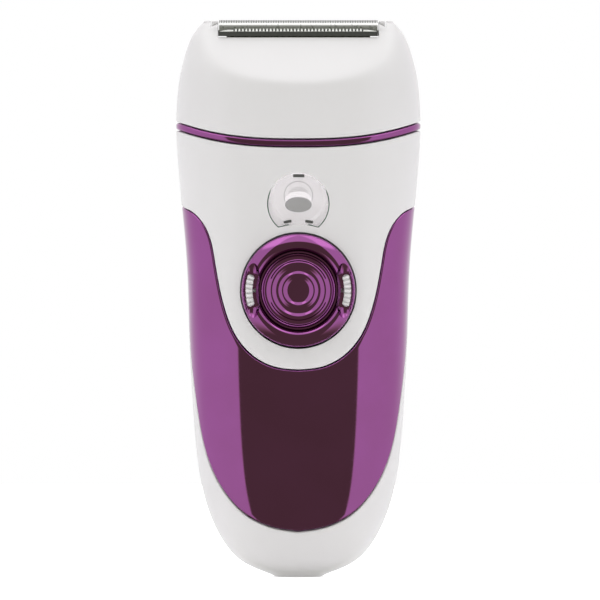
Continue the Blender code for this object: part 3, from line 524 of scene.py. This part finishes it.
def solder_mask(name, colour):
    look = Look(name, colour, 0.35, Coat_Weight=0.4)
    look.tint(0.9, tuple(c * 0.7 for c in colour), tuple(c * 1.15 for c in colour), detail=1.0)
    look.rough(0.8, 0.3, 0.45)
    look.bump(look.noise(0.7, 1.0), 0.02)
    return look.material


def dress_cad():
    """Every CAD node gets a procedural material from its class and colour in the record."""
    for entry in frame["record"]["materials"]:
        name, kind, colour = entry["slot"], entry["class"], tuple(entry["base_color"][:3])
        if name not in NODES:
            continue
        if kind == "brushed_steel":
            made = steel(f"{name}_steel", colour[0])
        elif kind == "chrome":
            made = purple_chrome(f"{name}_chrome")
        elif kind == "brass":
            look = Look(f"{name}_brass", colour, 0.3, 1.0)
            look.tint(2.0, tuple(c * 0.85 for c in colour), colour)
            made = look.rough(1.0, 0.22, 0.4).bump(look.noise(0.5), 0.004).material
        elif kind == "glass":
            made = clear(f"{name}_clear")
        elif name == "circuit_board":
            made = solder_mask(f"{name}_mask", colour)
        elif kind == "gloss_plastic":
            made = white_plastic(f"{name}_white")
        else:
            made = moulded(f"{name}_moulded", colour, 0.8 if kind == "rubber" else 0.5)
        NODES[name].data.materials.clear()
        NODES[name].data.materials.append(made)


# ---------------------------------------------------------------- shells
ROUND = 0.4  # radius of a shell's edge
STEPS = (0.0, 0.03, 0.1, 0.2, 0.3, 0.4)


def fall(distance):
    """Depth of a rounded edge at a distance from it."""
    left = max(ROUND - distance, 0.0)
    return ROUND - math.sqrt(ROUND**2 - left**2)


def rows_between(low_at, high_at, angles, count, power=1.0):
    """Rows from an edge to the other, as (heights, depth below the surface)."""
    rows = [(low_at(angles, d), fall(d)) for d in STEPS]
    upper = [(high_at(angles, d), fall(d)) for d in reversed(STEPS)]
    first, last = rows[-1][0], upper[0][0]
    for k in range(1, count):
        rows.append((first + (last - first) * (k / count) ** power, 0.0))
    return rows + upper


def shell_points(surface, angles, rows, thickness):
    outer, inner = [], []
    for heights, depth in rows:
        heights = np.asarray(heights, float) + 0 * angles
        point, normal = surface(angles, heights), normals(surface, angles, heights)
        outer.append(point - normal * depth)
        inner.append(point - normal * thickness)
    return np.array(outer), np.array(inner)


def shell(name, surface, angles, rows, thickness):
    """A closed wall whose outer edges are rounded. Angles that go all the way round close up."""
    outer, inner = shell_points(surface, angles, rows, thickness)
    full = abs(angles[-1] - angles[0]) > 300
    count, columns = outer.shape[:2]
    shift = count * columns
    points = np.concatenate([outer.reshape(-1, 3), inner.reshape(-1, 3)])
    faces = []
    last = columns if full else columns - 1
    for r in range(count - 1):
        for k in range(last):
            n = (k + 1) % columns
            one, two = r * columns, (r + 1) * columns
            faces.append((one + k, one + n, two + n, two + k))
            faces.append((shift + one + n, shift + one + k, shift + two + k, shift + two + n))
    for k in range(last):
        n, top = (k + 1) % columns, (count - 1) * columns
        faces.append((n, k, shift + k, shift + n))
        faces.append((top + k, top + n, shift + top + n, shift + top + k))
    if not full:
        for side in (0, columns - 1):
            for r in range(count - 1):
                one, two = r * columns + side, (r + 1) * columns + side
                faces.append((one, two, shift + two, shift + one))
    return new_object(name, points, faces)


def ring_faces(count, columns, closed=False):
    """Faces between rings of points, and from the last ring to the first if closed."""
    faces = []
    for r in range(count if closed else count - 1):
        one, two = r * columns, ((r + 1) % count) * columns
        for k in range(columns):
            n = (k + 1) % columns
            faces.append((one + k, one + n, two + n, two + k))
    return faces


def make_back_shell(look):
    """The back shell: a cup whose foot is a flat with the charge socket's hole in it."""
    angles = np.linspace(-180, 180, 241)[:-1]

    def top(a, d):
        foot = FOOT_BELOW[d](a)
        return np.where(np.abs(a) < 140, np.minimum(foot, seam(a) - 0.1 - d), seam(a) - 0.1 - d)

    upper = [(top(angles, d), fall(d)) for d in reversed(STEPS)]
    rows = [(upper[0][0] * (k / 70) ** 1.9, 0.0) for k in range(70)] + upper
    outer, inner = shell_points(body_surface, angles, rows, WALL)
    inner[:8, :, 2] = np.maximum(inner[:8, :, 2], WALL)
    inner[0] = inner[0] * [0.9, 0.9, 0.0] + [0, 0, WALL]
    turns = np.radians(angles)
    ring = np.stack([np.sin(turns), -np.cos(turns), 0 * turns], axis=1)
    lower = outer[0] * [0.985, 0.985, 0]
    socket = [3.0 * ring, 2.85 * ring + [0, 0, 0.2], 2.85 * ring + [0, 0, WALL]]
    rings = [*outer[::-1], lower, *socket, *inner]
    obj = new_object("back_shell_skin", np.concatenate(rings), ring_faces(len(rings), len(angles), True))
    cutters = [screw_cutter(f"case_screw_{k}") for k in (1, 2, 3, 4)]
    cut(obj, *cutters, extrude("release_cutter", slot_outline(0.3), 8, 30, "y"))
    soften(obj, 0.12, 2, 60)
    return finish_piece(obj, "back_shell", look)


def screw_cutter(node):
    """The stepped hole of a case screw, placed by the screw's own box."""
    low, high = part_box(node)
    middle, top = (low + high) / 2 / MM, high.y / MM
    seat = 0.95 - top
    profile = [(0, -top - 5), (2.5, -top - 5), (2.5, seat), (1.3, seat), (1.3, -10), (0, -10)]
    return lathe("screw_cutter", profile, (middle.x, 0, middle.z), 48)


def slot_outline(grow, steps=24):
    """The release button's slot: an outline with round ends, in the back view."""
    half, radius = RELEASE_HALF[0] - RELEASE_HALF[1], RELEASE_HALF[1] + grow
    right = np.radians(np.linspace(-90, 90, steps + 1))
    outline = [(half + radius * math.cos(a), RELEASE_Z + radius * math.sin(a)) for a in right]
    return outline + [(-x, 2 * RELEASE_Z - z) for x, z in outline]


def window_reach(turn, grow=0.0):
    """Distance of the window's edge from its centre: a circle, cut by one about the dial."""
    circle, clear_r = WINDOW_R + grow, WINDOW_CLEAR_R - grow
    drop = WINDOW_Z - DIAL_Z
    along = -math.sin(turn) * drop
    inside = along**2 - drop**2 + clear_r**2
    if along > 0 and inside > 0:
        return min(circle, along - math.sqrt(inside))
    return circle


def window_outline(grow, steps=160):
    turns = [2 * math.pi * k / steps for k in range(steps)]
    reach = [window_reach(t, grow) for t in turns]
    return [(r * math.cos(t), WINDOW_Z + r * math.sin(t)) for r, t in zip(reach, turns)]


TOP_ABOVE = {d: edge(PANEL_TOP, SEAM_CLEAR + d) for d in STEPS}
TOP_BELOW = {d: edge(PANEL_TOP, -SEAM_CLEAR - d) for d in STEPS}
FOOT_ABOVE = {d: edge(PANEL_FOOT, SEAM_CLEAR + d) for d in STEPS}
FOOT_BELOW = {d: edge(PANEL_FOOT, -SEAM_CLEAR - d) for d in STEPS}


def make_panel(look):
    ends = np.arange(90, 122, 0.25)
    end = next(a for a in ends if TOP_BELOW[0.0](a) - FOOT_ABOVE[0.0](a) < 1.8)
    angles = spread(TOP_BELOW[0.0], end, 130)
    rows = rows_between(lambda a, d: FOOT_ABOVE[d](a), lambda a, d: TOP_BELOW[d](a), angles, 60)
    obj = shell("front_panel_skin", body_surface, angles, rows, WALL)
    return finish_piece(obj, "front_panel", look)


def make_cover(look):
    def foot(a, d):
        return np.maximum(TOP_ABOVE[d](a), FOOT_ABOVE[d](a))

    ends = np.arange(90, 125, 0.25)
    end = next(a for a in ends if seam(a) - 0.1 - foot(a, 0.0) < 1.8)
    angles = spread(lambda a: foot(a, 0.0), end, 130)
    rows = rows_between(foot, lambda a, d: seam(a) - 0.1 - d, angles, 50)
    obj = shell("front_cover_skin", body_surface, angles, rows, WALL)
    profile = [(0, 5), (DIAL_HOLE_R, 5), (DIAL_HOLE_R, 30), (0, 30)]
    hole = lathe("dial_hole", profile, (0, 0, DIAL_Z), 128)
    cut(obj, hole, extrude("window_hole", window_outline(0.12), -30, -5, "y"))
    soften(obj, 0.15, 3, 60)
    return finish_piece(obj, "front_cover", look)


def make_collar(look):
    angles = np.linspace(-180, 180, 241)[:-1]
    foot, top = 0.15, COLLAR_HEIGHT - 0.1
    rows = []
    for k in range(13):
        t = k / 12
        bulge = 0.42 * (2 * t - 1) ** 4 + 0.05
        rows.append((seam(angles) + foot + (top - foot) * t, bulge))
    obj = shell("collar_ring_skin", body_surface, angles, rows, 1.8)
    return finish_piece(obj, "collar_ring", look)


def flat_normals(angles, heights):
    """The head's outward normals, laid level."""
    flat = normals(head_surface, angles, heights) * [1, 1, 0]
    return flat / np.linalg.norm(flat, axis=1)[:, None]


def head_rings(angles, foot):
    """The head's outside, from its rounded lower edge to its rounded top."""
    last, top = 134.35, 0 * angles
    rings = []
    for d in STEPS:
        heights = foot + d
        depth = normals(head_surface, angles, heights) * fall(d)
        rings.append(head_surface(angles, heights) - depth)
    start = foot + STEPS[-1]
    for k in range(1, 90):
        share = math.sin(math.pi / 2 * k / 89)
        rings.append(head_surface(angles, start + (last - start) * share))
    for height, inset in ((134.6, 0.05), (134.75, 0.2), (134.8, 0.45)):
        outline = head_surface(angles, last + top) - flat_normals(angles, last + top) * inset
        rings.append(np.stack([*outline.T[:2], height + top], axis=1))
    return rings


def make_head(look):
    """The head: its outside, its hollow and the seat for the foil across its top."""
    angles = np.linspace(-180, 180, 321)[:-1]
    foot = seam(angles) + COLLAR_HEIGHT + 0.2
    hollow = []
    for level, inset in ((foot, 1.9), (112.0, 1.9), (118.0, 1.9), (122.0, 2.6), (125.5, 2.6)):
        z = level + 0 * angles
        hollow.append(head_surface(angles, z) - flat_normals(angles, z) * inset)
    order = [*reversed(hollow), *head_rings(angles, foot)]
    count, columns = len(order), len(angles)
    faces = ring_faces(count, columns)
    faces.append(tuple(range(columns)))
    faces.append(tuple(range((count - 1) * columns, count * columns)))
    obj = new_object("head_skin", np.concatenate(order), faces)
    cut(
        obj,
        block("saddle", (-EAR_X, -30, SADDLE_Z), (EAR_X, 30, ABOVE_ALL)),
        block("notch", (-21.3, -3.9, 130.9), (21.3, 3.9, ABOVE_ALL)),
        block("well", (-19.0, -3.3, 120), (19.0, 3.3, ABOVE_ALL)),
    )
    soften(obj, 0.22, 3, 50)
    return finish_piece(obj, "head_housing", look)


# ---------------------------------------------------------------- the dial
def ring_profile():
    """The dial's rim: a steep inner wall, a peak near it and a long slope outwards."""
    inner_wall = ((9.5, 16.9), (9.56, 17.8), (9.8, 18.75), (10.25, 19.45), (10.95, 19.84))
    slope = ((11.6, 19.72), (12.4, 19.3), (13.1, 18.78), (13.55, 18.25), (13.75, 17.6), (DIAL_R, 16.8))
    radii, fronts = zip(*inner_wall, *slope)
    runs = np.concatenate([[0], np.cumsum(np.hypot(np.diff(radii), np.diff(fronts)))])
    even = np.linspace(0, runs[-1], 61)
    radius, front = spline(runs, radii)(even), spline(runs, fronts)(even)
    rim = list(zip(np.clip(radius, 9.5, DIAL_R), front))[::-1]
    under = [(0, 14.9), (12.6, 14.9), (12.6, 14.7), (13.7, 14.7), (DIAL_R, 14.8)]
    return [*under, *rim, (9.5, 16.1), (9.4, 16.0), (0, 16.0)]


def cap_height(radius):
    """Height of the cap's face: a lip, two round ridges and a dished middle."""
    ridges = ((8.7, 0.62, 0.36), (6.5, 0.68, 0.85), (3.8, 0.60, 0.78))
    rise = sum(h * math.exp(-(((radius - r) / w) ** 2)) for r, h, w in ridges)
    return 17.75 + rise - 0.25 * math.exp(-((radius / 1.9) ** 2))


def arc_outline(inner, outer, half_angle, side, steps=40):
    """An arc slot about the dial's axis, on the side given by its sign."""
    angles = np.radians(np.linspace(-half_angle, half_angle, steps + 1))
    out = [(side * outer * math.cos(t), DIAL_Z + outer * math.sin(t)) for t in angles]
    return out + [(side * inner * math.cos(t), DIAL_Z + inner * math.sin(t)) for t in angles[::-1]]


def scoop(side):
    """The finger scoop at one side of the dial's rim."""
    work = bmesh.new()
    bmesh.ops.create_uvsphere(work, u_segments=96, v_segments=48, radius=1.0)
    points = []
    for v in work.verts:
        x, y, z = v.co
        points.append((side * 11.3 + x * 2.5, -20.3 + y * 3.0, DIAL_Z + z * 7.3))
    faces = [tuple(v.index for v in f.verts) for f in work.faces]
    work.free()
    return new_object("scoop", points, faces)


def make_key(side, word, look):
    """A ribbed lock key that follows the dial's rim, with rounded ends and corners."""
    ribs, per_rib, soft = 7, 14, 0.28
    steps = ribs * per_rib
    points, faces, corners = [], [], 6
    for k in range(steps + 1):
        share = k / steps
        angle = math.radians(KEY_HALF_ANGLE * (2 * share - 1))
        end = max(0.0, 1 - min(share, 1 - share) * 14)
        pinch = (KEY_WIDTH / 2) * (1 - math.sqrt(max(0.0, 1 - 0.9 * end**2)))
        rib = 0.5 - 0.5 * math.cos(2 * math.pi * ribs * share)
        face = -18.3 - 0.52 * rib + 0.3 * end**2
        inner, outer = KEY_R - KEY_WIDTH / 2 + pinch, KEY_R + KEY_WIDTH / 2 - pinch
        section_points = (
            (inner, -16.3), (outer, -16.3), (outer, face + soft),
            (outer - soft, face), (inner + soft, face), (inner, face + soft),
        )
        for radius, y in section_points:
            points.append((side * radius * math.cos(angle), y, DIAL_Z + radius * math.sin(angle)))
    for k in range(steps):
        for j in range(corners):
            n = (j + 1) % corners
            one, two = k * corners, (k + 1) * corners
            faces.append((one + j, one + n, two + n, two + j))
    faces += [tuple(range(corners)), tuple(range(steps * corners, (steps + 1) * corners))]
    finish_piece(new_object(f"key_{word}_ribbed", points, faces, 50), f"key_{word}", look)


def make_dial(chrome, white):
    """The dial's ring with its finger scoops and key pockets, its cap and the two keys."""
    centre = (0, 0, DIAL_Z)
    ring = lathe("dial_ring_rim", ring_profile(), centre, 192)
    slots = [arc_outline(10.2, 13.0, KEY_HALF_ANGLE + 2.6, side) for side in (-1, 1)]
    pockets = [extrude("pocket", slot, -25, -16.0, "y") for slot in slots]
    cut(ring, scoop(-1), scoop(1), *pockets)
    soften(ring, 0.08, 2, 40)
    finish_piece(ring, "dial_ring", chrome)
    radii = [9.1 * k / 110 for k in range(110, 0, -1)] + [0.0]
    profile = [(0, 16.3), (9.1, 16.3)] + [(r, cap_height(r)) for r in radii]
    finish_piece(lathe("dial_cap_ridges", profile, centre, 192), "dial_cap", chrome)
    make_key(-1, "left", white)
    make_key(1, "right", white)


# ---------------------------------------------------------------- the light
def turned_block(name, x, z, wide, high, turn, near, far):
    """A block that runs along y, turned by some degrees in the front view."""
    c, s = math.cos(math.radians(turn)), math.sin(math.radians(turn))
    corners = ((-wide, -high), (wide, -high), (wide, high), (-wide, high))
    outline = [(x + (u * c - v * s) / 2, z + (u * s + v * c) / 2) for u, v in corners]
    return extrude(name, outline, near, far, "y")


def window_plate(grow=-0.12, rings=26, steps=200, depth=1.2):
    """The window's plate: it follows the cover's surface and has a rounded edge."""
    turns = np.linspace(0, 2 * math.pi, steps + 1)[:-1]
    reach = np.array([window_reach(t, grow) for t in turns])
    grids = []
    for share in np.linspace(0, 1, rings + 1)[1:]:
        x, z = reach * share * np.cos(turns), WINDOW_Z + reach * share * np.sin(turns)
        edge_drop = 0.12 * max(0.0, (share - 0.975) / 0.025) ** 2
        grids.append(np.stack([x, front_y(x, z) + edge_drop, z], axis=1))
    grids.append(grids[-1] + [0, depth, 0])
    centre_y = float(front_y(np.zeros(1), np.full(1, WINDOW_Z))[0])
    points = [(0, centre_y, WINDOW_Z)]
    points += [tuple(p) for grid in grids for p in grid]
    points.append((0, centre_y + depth, WINDOW_Z))
    faces = [(0, 1 + k, 1 + (k + 1) % steps) for k in range(steps)]
    for r in range(len(grids) - 1):
        one, two = 1 + r * steps, 1 + (r + 1) * steps
        faces += [(one + k, two + k, two + (k + 1) % steps, one + (k + 1) % steps) for k in range(steps)]
    last = 1 + (len(grids) - 1) * steps
    faces += [(len(points) - 1, last + (k + 1) % steps, last + k) for k in range(steps)]
    return new_object("light_window_plate", points, faces)


def make_window():
    """The clear window with its slots and notches, and dark blocks behind the slots that paint the
    shadow in them.
    """
    window = window_plate()
    holes = [turned_block("slot", *slot, -25, -10) for slot in SLOTS]
    for x in NOTCHES:
        holes.append(turned_block("notch", x, 85.35 + 0.01 * x * x, 0.42, 0.34, 0, -25, -10))
    cut(window, *holes)
    for index, (x, z, wide, high, turn) in enumerate(SLOTS, 1):
        near = float(front_y(np.full(1, x), np.full(1, z))[0]) + 0.12
        size = (wide - 0.06, high - 0.06)
        # Near black blocks at the bottom of the slots: painted shadow in the slot openings.
        clip = turned_block(f"slot_shadow_block_{index}", x, z, *size, turn, near, near + 0.6)
        ride_along(clip, moulded(f"clip_shadow_{index}", (0.07, 0.07, 0.068), 0.6), "light_window")
    finish_piece(window, "light_window", clear("window_acrylic", 0.08, 0.8))


def make_reflector(z):
    """The reflector's bowl and the tray that fills the space behind the window."""
    # The glow is painted light: the light that reaches the reflector and the tray through the window.
    shade = moulded("reflector_white", (0.82, 0.80, 0.81), 0.35, 0.42)
    tray = extrude("light_tray", window_outline(-0.1), -13.9, -13.5, "y")
    ride_along(tray, shade, "light_reflector")
    outside = [(2.8, 9.7), (6.9, 9.7), (6.9, 15.4), (6.6, 15.4)]
    hollow = [(6.0, 14.0), (5.0, 12.6), (3.6, 11.4), (3.5, 11.2), (2.8, 11.2)]
    bowl = lathe("light_reflector_bowl", outside + hollow, (0, 0, z), 128, True)
    finish_piece(bowl, "light_reflector", shade)


def make_diode(z):
    """The diode's dome, and seen in it: painted shade as a dark cup, a painted reflection as a bright
    band, and the dome's outline painted as a grey ring.
    """
    node, radius = "light_emitting_diode", 3.3
    dome = [(0, 9.6), (2.6, 9.6), (2.6, 10.9), (radius, 11.0), (radius, 12.0)]
    for t in np.linspace(0, math.pi / 2, 24):
        dome.append((radius * math.cos(t), 12.0 + 3.2 * math.sin(t)))
    dome = lathe("light_dome", dome, (0, 0, z), 128)
    finish_piece(dome, node, clear("dome_epoxy", 0.06, 0.8))
    turns = np.linspace(0, 2 * math.pi, 65)[:-1]
    cup = [(3.2 * math.cos(t), z - 1.75 + 1.8 * math.sin(t)) for t in turns]
    # A near black disc of painted shade where the diode's bore lies in shadow, with a faint painted
    # glow.
    dark = moulded("painted_shade_grey", (0.03, 0.031, 0.03), 0.5, 0.5)
    ride_along(extrude("painted_shade_disc", cup, -15.75, -15.45, "y"), dark, node)
    arcs = np.radians(np.linspace(14, 166, 40))
    band = [(3.25 * math.cos(t), z - 1.7 + 1.95 * math.sin(t)) for t in arcs]
    band += [(3.25 * math.cos(t), z - 0.6 + 2.1 * math.sin(t)) for t in arcs[::-1]]
    # A bright arc of painted reflection, the bright ring seen in the dome; its glow is painted light.
    bright = moulded("painted_reflection_band", (0.95, 0.93, 0.94), 0.3, 0.62)
    ride_along(extrude("light_band", band, -15.7, -15.5, "y"), bright, node)
    # A thin grey ring in front of the dome that paints the dome's outline; its glow is painted light.
    rim = [(radius, 15.3), (3.55, 15.3), (3.55, 15.45), (radius, 15.45)]
    ring = lathe("painted_dome_outline_ring", rim, (0, 0, z + 0.5), 96, True)
    ride_along(ring, moulded("painted_outline_grey", (0.4, 0.4, 0.4), 0.4, 0.4), node)


def make_light():
    """The whole light, level with the CAD's reflector."""
    low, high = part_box("light_reflector")
    z = (low.z + high.z) / 2 / MM
    make_window()
    make_reflector(z)
    make_diode(z)


# ---------------------------------------------------------------- the cutting parts
def band_mask(look, low, high, blend=0.04):
    """1 above low and below high, as heights in millimetres, and 0 elsewhere."""
    split = look.nodes.new("ShaderNodeSeparateXYZ")
    look.links.new(look.coords, split.inputs[0])
    over = look.spread(split.outputs["Z"], 0.0, 1.0, low * MM, (low + blend) * MM)
    under = look.spread(split.outputs["Z"], 1.0, 0.0, high * MM, (high + blend) * MM)
    return look.product(over, under)


def foil_look():
    """Etched foil: rows of small slots over the arch, and plain bands below them."""
    look = Look("etched_foil", (0.62, 0.62, 0.61), 0.32, 0.45)
    split = look.nodes.new("ShaderNodeSeparateXYZ")
    look.links.new(look.coords, split.inputs[0])
    pitch = look.nodes.new("ShaderNodeMath")
    pitch.operation = "PINGPONG"
    look.links.new(split.outputs["X"], pitch.inputs[0])
    pitch.inputs[1].default_value = SLOT_PITCH / 2 * MM
    slots = look.spread(pitch.outputs[0], 1.0, 0.0, 0.10 * MM, 0.16 * MM)
    holes = look.product(band_mask(look, ETCHED_FROM, ABOVE_ALL), slots)
    bright_band = band_mask(look, BRIGHT_FROM, BRIGHT_TO)
    plain = look.colour_mix(bright_band, (0.33, 0.325, 0.32), (0.62, 0.62, 0.61))
    etched = look.colour_mix(holes, plain, (0.09, 0.09, 0.088))
    look.links.new(etched, look.shader.inputs["Base Color"])
    look.rough(0.9, 0.26, 0.4)
    look.bump(holes, -0.04)
    return look.material


def comb_look():
    """Stamped steel with bright teeth, and painted shade that makes the base under them near black."""
    look = Look("comb_steel", (0.5, 0.5, 0.5), 0.4, 0.25)
    grain = look.noise(0.8, 2.0, (1, 1, 6))
    # Painted shade: the plate under the teeth is near black, where the gap under them lies in shadow.
    base = look.colour_mix(grain, (0.048, 0.048, 0.047), (0.066, 0.066, 0.064))
    teeth = look.colour_mix(band_mask(look, 132.1, ABOVE_ALL), base, (0.88, 0.88, 0.87))
    look.links.new(teeth, look.shader.inputs["Base Color"])
    look.rough(0.7, 0.3, 0.45, stretch=(1, 1, 8))
    look.bump(look.noise(0.4, 3.0, (1, 1, 8)), 0.004)
    return look.material


def make_comb():
    """The trimmer's comb: a plate with raised shoulders and a row of teeth."""
    first = -TOOTH_PITCH * (TOOTH_COUNT - 1) / 2
    shoulder = [(-FOIL_HALF, 131.0), (-FOIL_HALF, 132.1), (-18.6, 132.2), (-17.0, 132.5)]
    shoulder += [(first - 0.6, 132.5), (first - 0.6, TOOTH_FOOT)]
    outline = list(shoulder)
    for k in range(TOOTH_COUNT):
        x = first + TOOTH_PITCH * k
        outline += [(x - 0.30, TOOTH_FOOT), (x - 0.12, TOOTH_TIP)]
        outline += [(x + 0.12, TOOTH_TIP), (x + 0.30, TOOTH_FOOT)]
    outline += [(-u, v) for u, v in reversed(shoulder)]
    comb = extrude("trimmer_comb_toothed", outline, -6.2, -5.3, "y")
    soften(comb, 0.05, 2, 40)
    finish_piece(comb, "trimmer_comb", comb_look())


def arch(drop):
    """The foil's section, or its inside for a drop of the sheet's thickness."""
    reach = FOIL_REACH - drop
    line = [(-reach, FOIL_FOOT)]
    for t in np.linspace(0, math.pi, 49):
        rise = (FOIL_TOP - FOIL_SPRING - drop) * math.sin(t)
        line.append((-reach * math.cos(t), FOIL_SPRING + rise))
    return [*line, (reach, FOIL_FOOT)]


def make_foil_unit(white):
    """The arched foil and its frame."""
    outline = arch(0.0) + arch(FOIL_SHEET)[::-1]
    foil = extrude("foil_sheet", outline, -FOIL_HALF, FOIL_HALF, "x")
    finish_piece(foil, "foil", foil_look())
    frame = block("foil_frame_moulding", (-21.0, -3.45, 131.2), (21.0, 3.45, 134.7))
    cut(
        frame,
        block("frame_window", (-18.6, -2.95, 120), (18.6, 2.95, ABOVE_ALL)),
        block("frame_step", (-19.45, -10, 132.5), (19.45, 10, ABOVE_ALL)),
    )
    soften(frame, 0.2, 3, 40)
    finish_piece(frame, "foil_frame", white)
    NODES["trimmer_blade"].data.materials[0] = steel("trimmer_blade_dark", 0.1, 0.4)


# ---------------------------------------------------------------- the back
def make_release(look):
    """The release button's grooved pad, its flange and its arm."""
    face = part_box("release_button")[1].y / MM
    outline = slot_outline(0.0)
    button = extrude("release_pad", outline, 12.6, face, "y")
    low, high = RELEASE_Z - 1.7, RELEASE_Z + 1.7
    for x in np.linspace(-3.2, 3.2, 5):
        cut(button, block("groove", (x - 0.3, face - 0.35, low), (x + 0.3, face + 2, high)))
    soften(button, 0.2, 3, 40)
    wider = [(x * 1.14, RELEASE_Z + (z - RELEASE_Z) * 1.35) for x, z in outline]
    arm = soften(block("release_arm", (-2.6, 12.2, 97), (2.6, 13.2, 109)), 0.2)
    finish_piece(button, "release_button", look)
    ride_along(extrude("release_flange", wider, 12.0, 13.4, "y"), look, "release_button")
    ride_along(arm, look, "release_button")


def show_all():
    """Dresses every CAD node and builds the finer pieces that stand in for some."""
    white = white_plastic("white_gloss_plastic")
    chrome = purple_chrome("purple_metallised_plastic")
    dress_cad()
    make_back_shell(white)
    make_panel(chrome)
    make_cover(white)
    make_collar(chrome)
    make_head(white)
    make_dial(chrome, white)
    make_light()
    make_comb()
    make_foil_unit(white)
    make_release(white)
    screws = [f"case_screw_{k}" for k in (1, 2, 3, 4)]
    for node in ("charge_socket", "charge_pin", *screws):
        soften(NODES[node], 0.08, 2, 40)


# ---------------------------------------------------------------- studio
def world_light():
    """A white backdrop, with bright sides and a dark front in what reflects and what lights."""
    world = bpy.data.worlds.new("studio")
    bpy.context.scene.world = world
    world.use_nodes = True
    nodes, links = world.node_tree.nodes, world.node_tree.links
    nodes.clear()

    def math_node(operation, *values):
        node = nodes.new("ShaderNodeMath")
        node.operation = operation
        for socket, value in zip(node.inputs, values):
            if isinstance(value, (int, float)):
                socket.default_value = value
            else:
                links.new(value, socket)
        return node.outputs[0]

    def step(value, start, end):
        node = nodes.new("ShaderNodeMapRange")
        node.interpolation_type = "SMOOTHSTEP"
        links.new(value, node.inputs["Value"])
        node.inputs["From Min"].default_value = start
        node.inputs["From Max"].default_value = end
        return node.outputs["Result"]

    coords = nodes.new("ShaderNodeTexCoord").outputs["Generated"]
    split = nodes.new("ShaderNodeSeparateXYZ")
    links.new(coords, split.inputs[0])
    x, y, z = split.outputs
    flat = math_node("SQRT", math_node("ADD", math_node("MULTIPLY", x, x), math_node("MULTIPLY", y, y)))
    away = math_node("DIVIDE", math_node("MULTIPLY", y, -1.0), math_node("MAXIMUM", flat, 0.001))
    start, end = (math.cos(math.radians(SOFTBOX_START + d)) for d in (1.0, -1.0))
    side = math_node("SUBTRACT", 1.0, step(away, start, end))
    top = step(z, 0.72, 0.80)
    back = step(y, 0.3, 0.6)
    low = step(z, -0.8, -0.5)
    bright = math_node("MULTIPLY", side, low)
    level = math_node("ADD", math_node("MULTIPLY", bright, SOFTBOX_LEVEL - FRONT_LEVEL), FRONT_LEVEL)
    level = math_node("SUBTRACT", level, math_node("MULTIPLY", back, SOFTBOX_LEVEL - BACK_LEVEL))
    path = nodes.new("ShaderNodeLightPath")
    extra_top = math_node("MULTIPLY", path.outputs["Is Glossy Ray"], TOP_GLOSS - TOP_LEVEL)
    extra_top = math_node("ADD", extra_top, TOP_LEVEL - SOFTBOX_LEVEL)
    level = math_node("ADD", level, math_node("MULTIPLY", top, extra_top))
    shade = math_node("MULTIPLY", path.outputs["Is Diffuse Ray"], SIDE_SHADE)
    level = math_node("SUBTRACT", level, math_node("MULTIPLY", side, shade))
    bright = math_node("MAXIMUM", bright, top)
    tint = nodes.new("ShaderNodeMix")
    tint.data_type = "RGBA"
    tint.inputs["A"].default_value = (1.0, 1.15, 0.62, 1.0)
    tint.inputs["B"].default_value = (1.0, 1.0, 1.0, 1.0)
    links.new(bright, tint.inputs["Factor"])
    studio = nodes.new("ShaderNodeBackground")
    links.new(tint.outputs["Result"], studio.inputs["Color"])
    links.new(level, studio.inputs["Strength"])
    backdrop = nodes.new("ShaderNodeBackground")
    backdrop.inputs["Color"].default_value = (1.0, 1.0, 1.0, 1.0)
    backdrop.inputs["Strength"].default_value = 1.0
    mixed = nodes.new("ShaderNodeMixShader")
    links.new(path.outputs["Is Camera Ray"], mixed.inputs[0])
    links.new(studio.outputs[0], mixed.inputs[1])
    links.new(backdrop.outputs[0], mixed.inputs[2])
    links.new(mixed.outputs[0], nodes.new("ShaderNodeOutputWorld").inputs["Surface"])


def make_floor():
    """A pale floor just under the object, which the glossy surfaces don't see."""
    size = 1.5 / MM
    points = [(-size, -size, -0.05), (size, -size, -0.05), (size, size, -0.05), (-size, size, -0.05)]
    floor = new_object("studio_floor", points, [(0, 1, 2, 3)])
    look = Look("pale_floor", (0.9, 0.9, 0.9), 0.9)
    look.rough(40.0, 0.85, 0.95)
    look.shader.inputs["Emission Color"].default_value = (1, 1, 1, 1)
    look.shader.inputs["Emission Strength"].default_value = 0.5
    floor.data.materials.append(look.material)
    floor.visible_glossy = False


def make_camera():
    """Level with the middle of the handle and straight in front of the dial."""
    camera = bpy.data.objects.new("camera", bpy.data.cameras.new("camera"))
    bpy.context.scene.collection.objects.link(camera)
    front = cad_box[0][1]
    sensor = 36.0
    camera.data.sensor_width = sensor
    camera.data.lens = sensor * (CAMERA_DISTANCE - front) / VIEW_HEIGHT
    camera.data.clip_start = 0.01
    camera.location = (0.0004, front - CAMERA_DISTANCE, 0.0671)
    camera.rotation_euler = (math.radians(90), 0, 0)
    bpy.context.scene.camera = camera
    bpy.context.scene.view_settings.view_transform = "Standard"


show_all()
world_light()
make_floor()
make_camera()
